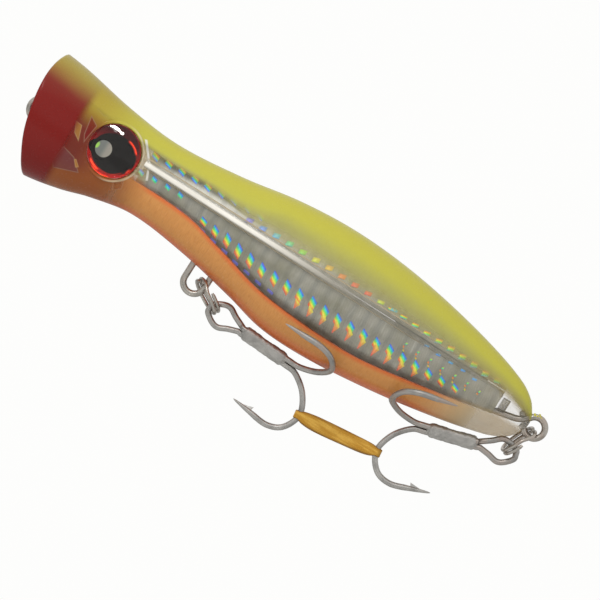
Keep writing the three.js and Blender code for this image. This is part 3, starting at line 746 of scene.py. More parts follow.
@dataclass(frozen=True)
class ShellPaint(Finish):
    """Clear moulding sprayed yellow on the back, orange on the belly and red at the mouth."""

    yellow: Colour = rgb(202, 195, 72)
    deep_yellow: Colour = rgb(186, 184, 84)
    red: Colour = rgb(120, 24, 20)
    dull_red: Colour = rgb(130, 58, 46)
    amber: Colour = rgb(158, 88, 44)
    cheek: Colour = rgb(120, 50, 38)
    amber_top: Colour = rgb(172, 142, 54)
    orange: Colour = rgb(222, 100, 52)
    tan: Colour = rgb(213, 149, 84)
    smoke: Colour = rgb(206, 184, 144)
    glass: Colour = rgb(235, 235, 230)
    cream: Colour = rgb(226, 212, 176)
    haze: Colour = rgb(212, 208, 156)

    @staticmethod
    def facet(along: Value, z: Value, outline: Sequence[tuple[float, float]]) -> Value:
        """Depth in mm inside an outline of corners in distance along and height."""
        spots = np.array(outline)
        middle, inside = spots.mean(0), None
        for (a, b), (c, d) in zip(spots, np.roll(spots, -1, 0)):
            length = math.hypot(c - a, d - b)
            across, up = -(d - b) / length, (c - a) / length
            if (middle[0] - a) * across + (middle[1] - b) * up < 0:
                across, up = -across, -up
            gap = along * float(across) + z * float(up) - float(a * across + b * up)
            inside = gap if inside is None else inside.low(gap)
        return inside

    def material(self) -> bpy.types.Material:
        """Builds the material."""
        s = Shader(self.name)
        along, rise, edge = s.attribute("along"), s.attribute("rise"), s.attribute("edge")
        eye = s.attribute("eye_distance")
        wander = (s.noise(6.0, 2.0, (2.5, 1, 1)) - 0.5) * 1.2
        fine = s.noise(0.7, 4.0)
        head = (along + wander * 0.5 + rise.step(-0.5, 0.2) * 0.5).step(13.2, 11.0)
        front = along.step(62.0, 40.0)
        back = ((rise + wander * 0.04 - (front * 0.3 + 0.14)) * (front * 3.0 + 1.6)).step(0.0, 1.0)
        front_back = (rise + wander * 0.08).step(0.5, 0.98)
        ahead = along.step(29.4, 27.6) * rise.step(0.05, -0.35)
        belly = (
            edge + wander * 0.3
        ).step(0.25, -0.35).top(ahead) * along.step(16.0, 33.0) * along.step(126.0, 111.0)
        zone = (along + wander).step(34.0, 21.0)
        tail = along.step(105.0, 120.0)
        # Orange belly paint at the lower edge and just under the foil edge, tan between. The orange is real
        # paint. Its deepening at these edges is partly painted shade for the slanting view through the tinted
        # belly, and the paler tan middle is partly painted light coming back from inside.
        belly_paint_and_edge_shade = (rise.step(-0.82, -0.985) * 0.8).top(
            edge.step(-1.3, -0.3) * along.step(28.0, 34.0) * 0.75
        ) * (1.0 - tail * 0.7)
        body = s.blend(belly_paint_and_edge_shade, self.tan, self.orange)
        body = s.blend(edge.step(0.3, 1.2), body, self.haze)
        streak = s.noise(1.6, 3.0, (0.08, 1, 1))
        body = s.blend(streak.step(0.45, 0.75) * 0.4, body, rgb(176, 104, 60))
        body = s.blend(streak.step(0.45, 0.25) * 0.3, body, rgb(232, 176, 120))
        skin = s.blend(along.step(22.0, 14.0) * rise.step(-0.75, -0.4), self.amber, self.cheek)
        body = s.blend(zone, body, s.blend(rise.step(0.15, 0.62), skin, self.amber_top))
        _, _, z = s.axes()
        for outline, colour in FACETS.values():
            depth = self.facet(along, z, outline)
            body = s.blend(depth.step(-0.08, 0.12) * 0.75, body, colour)
            # Painted highlight: thin cream lines along the edges of each web.
            body = s.blend(depth.band(0.0, 0.14, 0.1) * 0.22, body, self.cream)
        body = s.blend(tail, body, self.smoke)
        top = s.blend((rise + wander * 0.1).step(0.95, 0.45), self.yellow, self.deep_yellow)
        top = s.blend(along.step(26.0, 12.0) * 0.7, top, self.amber_top)
        body = s.blend(back, body, top)
        mouth = s.blend(rise.step(0.25, 0.75), self.red, self.dull_red)
        mouth = s.blend(front_back, mouth, rgb(176, 158, 70))
        body = s.blend(head, body, mouth)
        # Painted highlight: a cream band on the clear collar behind and below the eye.
        collar = eye.band(6.45, 6.85, 0.12) * along.step(20.5, 25.0) * rise.step(0.9, 0.6)
        body = s.blend(collar * 0.7, body, self.cream)
        # Painted highlight: pale, more opaque bars where the clear moulded bracket catches the light.
        bars = [self.facet(along, z, outline).step(-0.08, 0.14) for outline in BRACKET]
        bracket = bars[0].top(bars[1])
        body = s.blend(bracket * 0.8, body, self.glass)
        body = s.blend((fine - 0.5) * 0.12 + 0.04, body, (0.02, 0.02, 0.015))
        paint = (back * 0.96).top(belly * 0.93).top(head * 0.99).top(zone * 0.84)
        paint = paint.top(tail * (edge.step(1.2, -0.6) * 0.3 + 0.08)).top(bracket * 0.55)
        body = s.blend(paint.step(0.0, 0.2), self.glass, body)
        cover = paint.top(0.03)
        gloss = s.value("ShaderNodeFresnel", {}, {"IOR": 1.45})
        relief = s.bump(s.noise(9.0, 1.0, (3, 1, 1)) * 0.8 + s.noise(0.5, 3.0) * 0.2, 0.12, 0.35)
        surface = s.principled(
            Base_Color=body, Metallic=paint.step(0.2, 0.0), Roughness=0.2 + fine * 0.12,
            Specular_IOR_Level=0.18, Coat_Weight=0.06, Coat_Roughness=0.05, Normal=relief,
        )
        return s.finish(surface, (cover + gloss * paint.step(0.3, 0.0)).low(1.0))


@dataclass(frozen=True)
class RidgePlastic(Finish):
    """Polished clear edge along the flank, with a painted highlight: a bright band along its middle that
    fades towards the tail.
    """

    # bright is the colour of the painted highlight along the ridge's middle.
    bright: Colour = rgb(238, 234, 224)
    dim: Colour = rgb(164, 158, 140)
    edge: Colour = rgb(214, 190, 150)

    def material(self) -> bpy.types.Material:
        """Builds the material."""
        s = Shader(self.name)
        x, _, z = s.axes()
        back = BodyForm.setback - x
        wander = s.noise(3.0, 3.0, (8, 1, 1))
        # Painted highlight along the ridge's middle, fading out towards the tail; the band is also more
        # opaque there.
        highlight_band = z.band(1.8, 2.95, 0.35) * back.step(92.0, 52.0)
        rims = z.band(1.2, 1.5, 0.1).top(z.band(3.5, 3.8, 0.1))
        colour = s.blend(rims * 0.8, s.blend(highlight_band, self.dim, self.bright), self.edge)
        colour = s.blend(wander.step(0.35, 0.75) * 0.35, colour, self.dim)
        cover = (highlight_band * 0.8 + rims * 0.5 + 0.2) * back.step(123.0, 112.0).top(0.35)
        surface = s.principled(
            Base_Color=colour, Roughness=0.12 + wander * 0.12, Coat_Weight=0.7, Coat_Roughness=0.04,
            Normal=s.bump(wander, 0.1, 0.5),
        )
        return s.finish(surface, cover)


@dataclass(frozen=True)
class PrismFoil(Finish):
    """Grey metal foil pressed into upright pleats."""

    base: Colour = rgb(186, 183, 168)
    dark: Colour = rgb(126, 128, 124)
    light: Colour = rgb(228, 228, 218)
    pitch: float = 3.3

    def material(self) -> bpy.types.Material:
        """Builds the material."""
        s = Shader(self.name)
        x, _, z = s.axes()
        back = BodyForm.setback - x
        turn = back / self.pitch
        pleat = turn.math("PINGPONG", 0.5) * 2.0
        fine = (back / (self.pitch / 6) + z * 0.35).math("PINGPONG", 0.5) * 2.0
        cloud = s.noise(5.0, 3.0, (1.5, 1, 1))
        streak = s.noise(0.9, 3.0, (1, 1, 6))
        colour = s.blend(pleat.step(0.3, 1.0) * 0.4, self.base, self.dark)
        colour = s.blend(streak.step(0.5, 0.8) * 0.5, colour, self.light)
        colour = s.blend(cloud.step(0.4, 0.7) * 0.6, colour, rgb(150, 146, 116))
        colour = s.blend(fine * 0.12, colour, (0.0, 0.0, 0.0))
        surface = s.principled(
            Base_Color=colour, Metallic=0.4, Roughness=0.3 + streak * 0.15,
            Normal=s.bump(pleat * 0.8 + fine * 0.2, 0.1, 0.6),
        )
        return s.finish(surface)


@dataclass(frozen=True)
class Spectrum(Finish):
    """Prism tiles that show a band of the spectrum; each point holds its place in it. The rainbow is a fixed
    painted stand-in for the light the prism foil splits and reflects, and the emission is a painted glow.
    """

    def material(self) -> bpy.types.Material:
        """Builds the material."""
        s = Shader(self.name)
        hue = s.attribute("hue_low") + s.attribute("hue_span") * s.attribute("lift")
        spark = s.noise(0.35, 2.0)
        stops = (
            (0.0, rgb(120, 96, 190)), (0.12, rgb(66, 84, 255)), (0.28, rgb(40, 190, 250)),
            (0.42, rgb(60, 230, 160)), (0.56, rgb(150, 240, 50)), (0.68, rgb(255, 240, 40)),
            (0.82, rgb(255, 150, 40)), (1.0, rgb(250, 70, 50)),
        )
        colour = s.blend(s.attribute("pale"), s.ramp(hue + (spark - 0.5) * 0.12, stops), rgb(150, 152, 142))
        # Painted glow: the tiles' rainbow colour is fed to emission so it stays bright under any light.
        surface = s.principled(
            Base_Color=colour, Metallic=0.3, Roughness=0.25 + spark * 0.2, Emission_Color=colour,
            Emission_Strength=0.35, Normal=s.bump(spark, 0.05, 0.3),
        )
        return s.finish(surface)


@dataclass(frozen=True)
class EyePrint(Finish):
    """Red foil iris with a black pupil and a grey catch disc, with painted glints: bright red arcs that also
    glow, a brighter red sparkle low in the iris and a green glint in the catch disc.
    """

    x: float = -18.7
    z: float = 0.95
    pupil: Colour = rgb(16, 14, 14)

    def material(self) -> bpy.types.Material:
        """Builds the material."""
        s = Shader(self.name)
        x, _, z = s.axes()
        back, up = self.x - x, z - self.z

        def ring(centre: tuple[float, float], wide: float, high: float) -> Value:
            """Distance from a centre, 1 on the oval."""
            a, b = (back - centre[0]) / wide, (up - centre[1]) / high
            return (a * a + b * b).math("SQRT")

        radius = ring((0, 0), 1, 1)
        angle = up.math("ARCTAN2", back)
        spark = s.noise(0.5, 3.0)
        iris = s.blend(up.step(-2.0, 4.5), rgb(146, 20, 18), rgb(58, 12, 16))
        # Painted reflection: a brighter red sparkle in the lower part of the iris.
        iris = s.blend(spark.step(0.5, 0.7) * up.step(3.0, -1.0) * 0.5, iris, rgb(196, 34, 26))
        # Painted glints: bright red-orange arcs in the iris, which also glow through the emission below.
        painted_glints = angle.band(0.4, 1.1, 0.08) * (radius + (angle - 0.75) * 1.35).band(4.25, 4.7, 0.12)
        painted_glints = painted_glints.top(angle.band(-2.25, -1.75, 0.08) * radius.band(5.1, 5.5, 0.12))
        painted_glints = painted_glints.top(angle.band(-2.0, -1.25, 0.1) * radius.band(5.7, 5.9, 0.06))
        painted_glints = painted_glints.top(angle.band(-0.5, -0.3, 0.06) * radius.band(5.2, 5.6, 0.1))
        painted_glints = painted_glints.top(angle.band(-1.1, -0.7, 0.1) * radius.band(5.0, 5.2, 0.06) * 0.7)
        painted_glints = painted_glints * spark.step(0.2, 0.45)
        iris = s.blend(painted_glints, iris, rgb(255, 70, 36))
        iris = s.blend(radius.step(5.55, 5.95) * 0.8, iris, rgb(150, 26, 18))
        beak = ring((-2.4, -1.1), 3.1, 2.0).low(ring((0.35, -0.55), 5.15, 4.35))
        colour = s.blend(beak.step(1.03, 0.97), iris, self.pupil)
        catch = ring((-2.1, -0.75), 1.85, 1.85)
        grey = s.blend(back.step(-2.4, -1.2), rgb(112, 116, 112), rgb(146, 142, 132))
        # Painted glint: a small green spot in the catch disc.
        grey = s.blend(ring((-3.75, -0.7), 0.55, 0.85).step(1.1, 0.6), grey, rgb(150, 200, 90))
        colour = s.blend(catch.step(1.04, 0.97), colour, grey)
        surface = s.principled(
            Base_Color=colour, Roughness=0.3 + spark * 0.1, Specular_IOR_Level=0.04,
            Emission_Color=s.blend(painted_glints, (0.0, 0.0, 0.0), rgb(255, 60, 30)), Emission_Strength=0.5,
            Normal=s.bump(spark, 0.05, 0.2),
        )
        return s.finish(surface)


@dataclass(frozen=True)
class ClearDome(Finish):
    """Poured clear resin: only its gloss shows."""

    tint: Colour = rgb(250, 250, 248)

    def material(self) -> bpy.types.Material:
        """Builds the material."""
        s = Shader(self.name)
        wave = s.noise(2.0, 1.0)
        gloss = s.value("ShaderNodeFresnel", {}, {"IOR": 1.5})
        surface = s.principled(
            Base_Color=s.blend(wave * 0.2, self.tint, rgb(226, 210, 204)), Metallic=1.0,
            Roughness=0.01 + wave * 0.01, Normal=s.bump(wave, 0.004, 0.02),
        )
        return s.finish(surface, (gloss * 0.42).low(1.0))


@dataclass(frozen=True)
class Metal(Finish):
    """Drawn or plated metal with fine streaks and small pits."""

    base: Colour
    dark: Colour
    rough: float = 0.3
    pits: float = 0.3
    warm: Colour = rgb(150, 110, 84)
    warmth: float = 0.0

    def material(self) -> bpy.types.Material:
        """Builds the material."""
        s = Shader(self.name)
        cloud = s.noise(2.2, 3.0)
        grain = s.noise(0.18, 3.0)
        _, _, z = s.axes()
        colour = s.blend(cloud.step(0.3, 0.85) * 0.7, self.base, self.dark)
        colour = s.blend(grain.step(0.55, 0.8) * self.pits, colour, self.dark)
        colour = s.blend(cloud.step(0.6, 0.4) * z.step(-22.0, -6.0) * self.warmth, colour, self.warm)
        surface = s.principled(
            Base_Color=colour, Metallic=0.95, Roughness=self.rough + grain * 0.2,
            Normal=s.bump(grain * 0.7 + cloud * 0.3, 0.05, self.pits),
        )
        return s.finish(surface)


@dataclass(frozen=True)
class Moulding(Finish):
    """Tinted clear plastic seen at its edges."""

    base: Colour
    deep: Colour
    cover: float = 0.6
    rough: float = 0.15

    def material(self) -> bpy.types.Material:
        """Builds the material."""
        s = Shader(self.name)
        cloud, fine = s.noise(3.0, 3.0), s.noise(0.4, 3.0)
        gloss = s.value("ShaderNodeFresnel", {}, {"IOR": 1.45})
        surface = s.principled(
            Base_Color=s.blend(cloud.step(0.3, 0.7), self.base, self.deep), Roughness=self.rough + fine * 0.1,
            Coat_Weight=0.5, Coat_Roughness=0.05, Normal=s.bump(fine, 0.04, 0.3),
        )
        return s.finish(surface, (gloss + self.cover + cloud * 0.15).low(1.0))


@dataclass(frozen=True)
class Rubber(Finish):
    """Stretched natural rubber, paler along the strands and darker towards the long edges, with a painted
    highlight stripe to one side of the middle.
    """

    base: Colour = rgb(172, 124, 34)
    pale: Colour = rgb(202, 158, 66)
    dark: Colour = rgb(118, 78, 18)

    def material(self) -> bpy.types.Material:
        """Builds the material."""
        s = Shader(self.name)
        across = s.attribute("across")
        fine, streak = s.noise(0.25, 4.0), s.noise(0.8, 3.0, (7, 1, 1))
        colour = s.blend(streak.step(0.4, 0.7), self.base, self.pale)
        colour = s.blend(across.math("ABSOLUTE").step(0.7, 1.0) * 0.7, colour, self.dark)
        # Painted highlight: a paler stripe to one side of the middle of the strip.
        colour = s.blend((across - 0.25).math("ABSOLUTE").step(0.3, 0.0) * 0.35, colour, self.pale)
        colour = s.blend(fine.step(0.55, 0.8) * 0.3, colour, self.dark)
        surface = s.principled(
            Base_Color=colour, Roughness=0.52 + fine * 0.2, Specular_IOR_Level=0.35, Sheen_Weight=0.1,
            Normal=s.bump(fine * 0.4 + streak * 0.6, 0.12, 0.7),
        )
        return s.finish(surface)


@dataclass(frozen=True)
class Backdrop(Finish):
    """Matt off-white board."""

    base: Colour = rgb(244, 244, 242)

    def material(self) -> bpy.types.Material:
        """Builds the material."""
        s = Shader(self.name)
        fine = s.noise(3.0, 3.0)
        surface = s.principled(
            Base_Color=s.blend(fine * 0.2, self.base, rgb(236, 236, 234)), Roughness=0.8,
            Normal=s.bump(fine, 0.2, 0.1),
        )
        return s.finish(surface)


class Palette:
    """Every finish of the lure, made once."""

    def __init__(self) -> None:
        """Builds the materials."""
        self.shell = ShellPaint("painted_clear_shell").material()
        self.ridge = RidgePlastic("polished_ridge").material()
        self.foil = PrismFoil("pleated_foil").material()
        self.tile = Spectrum("prism_tiles").material()
        self.eye = EyePrint("eye_print").material()
        self.dome = ClearDome("clear_dome").material()
        self.hook = Metal(
            "tinned_steel", rgb(186, 184, 180), rgb(132, 130, 127), 0.3, 0.4, warmth=0.35,
        ).material()
        self.ring = Metal(
            "nickel_wire", rgb(200, 196, 188), rgb(132, 126, 120), 0.18, 0.25, warmth=0.3,
        ).material()
        self.solder = Metal("dull_solder", rgb(190, 188, 184), rgb(148, 146, 143), 0.45, 0.25).material()
        self.lead = Metal("cast_weight", rgb(96, 96, 100), rgb(62, 62, 66), 0.55, 0.8).material()
        self.ball = Metal("ball_steel", rgb(190, 190, 188), rgb(120, 120, 120), 0.12, 0.1).material()
        self.tube = Moulding("rattle_plastic", rgb(216, 216, 208), rgb(176, 176, 168), 0.35).material()
        self.amber = Moulding("amber_gusset", rgb(206, 150, 62), rgb(170, 108, 40), 0.95).material()
        self.plum = Moulding("plum_gusset", rgb(100, 48, 52), rgb(78, 38, 44), 0.95).material()
        self.smoke = Moulding("clear_post", rgb(196, 184, 150), rgb(120, 110, 88), 0.45).material()
        self.rubber = Rubber("stretched_rubber").material()
        self.specks = Moulding("overspray", rgb(206, 196, 60), rgb(170, 160, 50), 0.9).material()
        self.board = Backdrop("pale_board").material()


def dress(obj: bpy.types.Object, material: bpy.types.Material) -> bpy.types.Object:
    """Gives a piece its one finish."""
    obj.data.materials.clear()
    obj.data.materials.append(material)
    return obj


def place_piece(obj: bpy.types.Object, body: str, slot: str, *nodes: str) -> bpy.types.Object:
    """Hands a finished piece to the frame.

    Args:
        obj: the piece.
        body: the body it moves with.
        slot: the record's material slot; not used.
        nodes: the CAD nodes it stands for.

    Returns:
        The piece.
    """
    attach(obj, body)
    if nodes:
        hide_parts(*nodes)
    LOG.info("%s rides on %s, %d faces", obj.name, body, len(obj.data.polygons))
    return obj


# ---- body -------------------------------------------------------------------------------


@dataclass
class Eye:
    """Printed disc under a clear dome in a raised collar."""

    back: float = 21.3
    rise: float = 0.95
    recess: float = 2.2
    sweep: float = 7.0
    radius: float = 6.0
    fit: float = 0.15
    disc: float = 0.5
    rim: float = 0.35
    dome: float = 1.5
    collar: float = 0.7
    collar_height: float = 1.35

    def frame(self, depth: float = 0.0) -> Matrix:
        """Where the left eye stands, local Y pointing out, in mm."""
        place = Vector((float(FORM.x(self.back)), float(FORM.half_width(self.back)) - self.recess, self.rise))
        return (
            Matrix.Translation(place) @ Matrix.Rotation(math.radians(self.sweep), 4, "Z")
            @ Matrix.Translation((0, depth, 0))
        )

    def collar_body(self) -> bpy.types.Object:
        """Closed plug of the collar, rounded at its outer edge."""
        outer, edge = self.radius + self.fit + self.collar, 0.3
        curve = [(outer - edge + edge * math.sin(a), self.collar_height - edge + edge * math.cos(a))
                 for a in np.linspace(math.pi / 2, 0, 6)]
        profile = [(0.0, -1.2), (outer - 0.6, -1.2), (outer, -0.8), *curve, (0.0, self.collar_height)]
        return lathe("collar", profile, self.frame(), sides=96)

    def pocket_body(self) -> bpy.types.Object:
        """Closed plug of the pocket that the eye sits in."""
        reach = self.radius + self.fit
        return lathe("pocket", [(0.0, 0), (reach, 0), (reach, 14), (0.0, 14)], self.frame(), sides=96)

    def build(self, side: Side, palette: Palette) -> None:
        """Makes the disc and the dome of one side."""
        disc_profile = [(0.0, 0), (self.radius, 0), (self.radius, self.disc), (0.0, self.disc)]
        disc = mirror(lathe(f"eye_print_{side.label}", disc_profile, self.frame(self.fit)), side)
        cap = (self.radius**2 + self.dome**2) / (2 * self.dome)
        half = math.asin(self.radius / cap)
        profile = [(0.0, 0), (self.radius - 0.1, 0), (self.radius, 0.1), (self.radius, self.rim - 0.05)]
        for share in np.linspace(0.985, 0.002, 24):
            angle = half * share
            profile.append((cap * math.sin(angle), self.rim + self.dome - cap * (1 - math.cos(angle))))
        profile.append((0.0, self.rim + self.dome))
        stand = self.frame(self.fit * 2 + self.disc)
        dome = mirror(lathe(f"eye_lens_{side.label}", profile, stand, sides=96), side)
        dress(disc, palette.eye)
        dress(dome, palette.dome)
        place_piece(disc, "lure_body", "eye_print", f"eye_disc_{side.label}")
        place_piece(dome, "lure_body", "eye_dome", f"eye_dome_{side.label}")


@dataclass
class Shell:
    """One moulded half: outside, mouth cup, cavity and the glued seam."""

    wall: float = 1.6
    lip_wall: float = 1.3
    lip_round: float = 0.45
    cup_depth: float = 11.0
    cup_corner: float = 3.5
    cavity_front: float = 13.0
    cavity_rear: float = 123.5
    seam: float = 0.02
    merge: float = 0.0005
    arc_points: int = 61
    stations: int = 170

    def face_place(self, angle: np.ndarray, inset: float) -> np.ndarray:
        """How far back the face is along each line of the surface."""
        back = np.zeros_like(angle)
        for _ in range(12):
            back = FORM.face(FORM.at(back, angle, inset)[..., 2])
        return back

    def rings(self) -> tuple[list[np.ndarray], list[np.ndarray]]:
        """Rows of points: tail over the outside, lip and cup; and the cavity's own rows."""
        angle = np.linspace(-math.pi / 2, math.pi / 2, self.arc_points)
        rim = self.face_place(angle, 0.0) + self.lip_round
        share = (1 - np.cos(np.linspace(0, math.pi, self.stations))) / 2
        share = 0.35 * share + 0.65 * np.linspace(0, 1, self.stations)
        outside = [FORM.at(rim + (FORM.length - rim) * s, angle) for s in share[::-1]]
        tip = outside[0]
        middle = np.array([FORM.x(FORM.length), 0.0, tip[:, 2].mean()])
        cap = [
            middle + (tip - middle) * k + np.array([-d, 0, 0])
            for k, d in ((0.02, 0.35), (0.5, 0.3), (0.85, 0.15))
        ]
        lip = []
        for turn in np.linspace(0, math.pi, 9)[1:]:
            inset = self.lip_wall * (1 - math.cos(turn)) / 2
            place = self.face_place(angle, inset) + self.lip_round * (1 - math.sin(turn))
            lip.append(FORM.at(place, angle, inset))
        start = self.face_place(angle, self.lip_wall) + self.lip_round
        wall_end = self.cup_depth - self.cup_corner
        cup = [
            FORM.at(start + (wall_end - start) * s, angle, self.lip_wall) for s in np.linspace(0, 1, 12)[1:]
        ]
        for turn in np.linspace(0, 1, 9)[1:]:
            inset = self.lip_wall + self.cup_corner * (1 - math.sqrt(max(1 - turn * turn, 0)))
            cup.append(FORM.at(np.full_like(angle, wall_end + self.cup_corner * turn), angle, inset))
        floor = cup[-1]
        centre = np.array([floor[0, 0], 0.0, floor[:, 2].mean()])
        cup += [centre + (floor - centre) * k for k in (0.75, 0.5, 0.25, 0.01)]
        inside = [FORM.at(np.full_like(angle, b), angle, self.wall)
                  for b in np.linspace(self.cavity_front, self.cavity_rear, 90)]
        ends = []
        for row in (inside[0], inside[-1]):
            centre = np.array([row[0, 0], 0.0, row[:, 2].mean()])
            ends.append([centre + (row - centre) * k for k in (0.01, 0.5)])
        return [*cap, *outside, *lip, *cup], [*ends[0], *inside, *ends[1][::-1]]

    def build(self, side: Side, eye: Eye, palette: Palette) -> None:
        """Makes one half with its eye socket."""
        outer, inner = self.rings()
        columns = self.arc_points
        points = np.concatenate([np.array(outer).reshape(-1, 3), np.array(inner).reshape(-1, 3)])
        points[:, 1] = np.maximum(points[:, 1], self.seam)
        faces = strip_faces(len(outer), columns, False)
        faces += strip_faces(len(inner), columns, False, len(outer) * columns)
        for start, count in ((0, len(outer)), (len(outer) * columns, len(inner))):
            first, last = start, start + (count - 1) * columns
            faces += [tuple(range(first, first + columns)), tuple(range(last, last + columns))]
        obj = mesh_object(f"painted_shell_{side.label}", points, faces)
        with edited(obj.data) as bm:
            bmesh.ops.remove_doubles(bm, verts=bm.verts, dist=self.merge * MM)
            open_edges = [e for e in bm.edges if e.is_boundary]
            bmesh.ops.triangle_fill(bm, edges=open_edges, use_beauty=False, normal=(0, -1, 0))
            bmesh.ops.recalc_face_normals(bm, faces=bm.faces)
        combine(obj, eye.collar_body(), "UNION")
        combine(obj, eye.pocket_body(), "DIFFERENCE")
        tidy(obj, crease=38.0)
        self.measure(obj, eye)
        mirror(obj, side)
        dress(obj, palette.shell)
        place_piece(obj, "lure_body", "shell_plastic", f"body_shell_{side.label}")

    def measure(self, obj: bpy.types.Object, eye: Eye) -> None:
        """Stores what the paint follows: distance along, height share, foil edge and eye."""
        co = corners(obj)
        back = FORM.setback - co[:, 0]
        add_attribute(obj, "along", back)
        add_attribute(obj, "rise", FORM.share(back, co[:, 2]))
        add_attribute(obj, "edge", co[:, 2] - FORM.foil_edge(back))
        add_attribute(obj, "eye_distance", np.hypot(back - eye.back, co[:, 2] - eye.rise))


@dataclass
class Ridge:
    """Raised clear band along the flank."""

    front: float = 28.6
    rear: float = 121.0
    low: float = 1.35
    high: float = 3.75
    rise: float = 0.42
    root: float = 0.35

    def build(self, side: Side, palette: Palette) -> None:
        """Makes the band of one side."""
        rows = []
        section = [
            (0.0, -self.root), (0.0, 0.05), (0.1, 0.75), (0.2, 1.0), (0.5, 1.06), (0.8, 1.0), (0.9, 0.75),
            (1.0, 0.05), (1.0, -self.root),
        ]
        for back in np.linspace(self.front, self.rear, 160):
            near_end = min(back - self.front, self.rear - back)
            grown = math.sqrt(min(max(near_end, 0.02) / 1.6, 1))
            narrow = 1 - 0.35 * max(0.0, (back - 95) / 26) ** 1.5
            ring = []
            for across, lift in section:
                z = (self.low + self.high) / 2 + (across - 0.5) * (self.high - self.low) * narrow
                out = lift * self.rise * grown if lift > 0 else lift
                ring.append(FORM.flank_at(back, z, -out))
            rows.append(np.array(ring))
        obj = mirror(lofted(f"flank_ridge_{side.label}", np.array(rows), crease=50.0), side)
        dress(obj, palette.ridge)
        place_piece(obj, "lure_body", "shell_plastic")


class TileShape(Enum):
    """Outline of a prism tile: how far it leans and how wide its foot is, for a unit tile."""

    DOWN = (-0.42, 1.0)
    UP = (0.38, 1.0)
    ARROW = (-0.42, 0.1)


@dataclass
class TileRow:
    """One row of prism tiles: knots give height and size along the body in mm."""

    first: float
    last: float
    height: Profile
    tall: Profile
    wide: float
    hue_low: Profile
    hue_span: float
    shape: TileShape = TileShape.DOWN
    pitch: float = 3.3
    pale: float = 0.0


def flat(value: float) -> Profile:
    """A profile that stays at one value."""
    return Profile((0, value), (1, value))


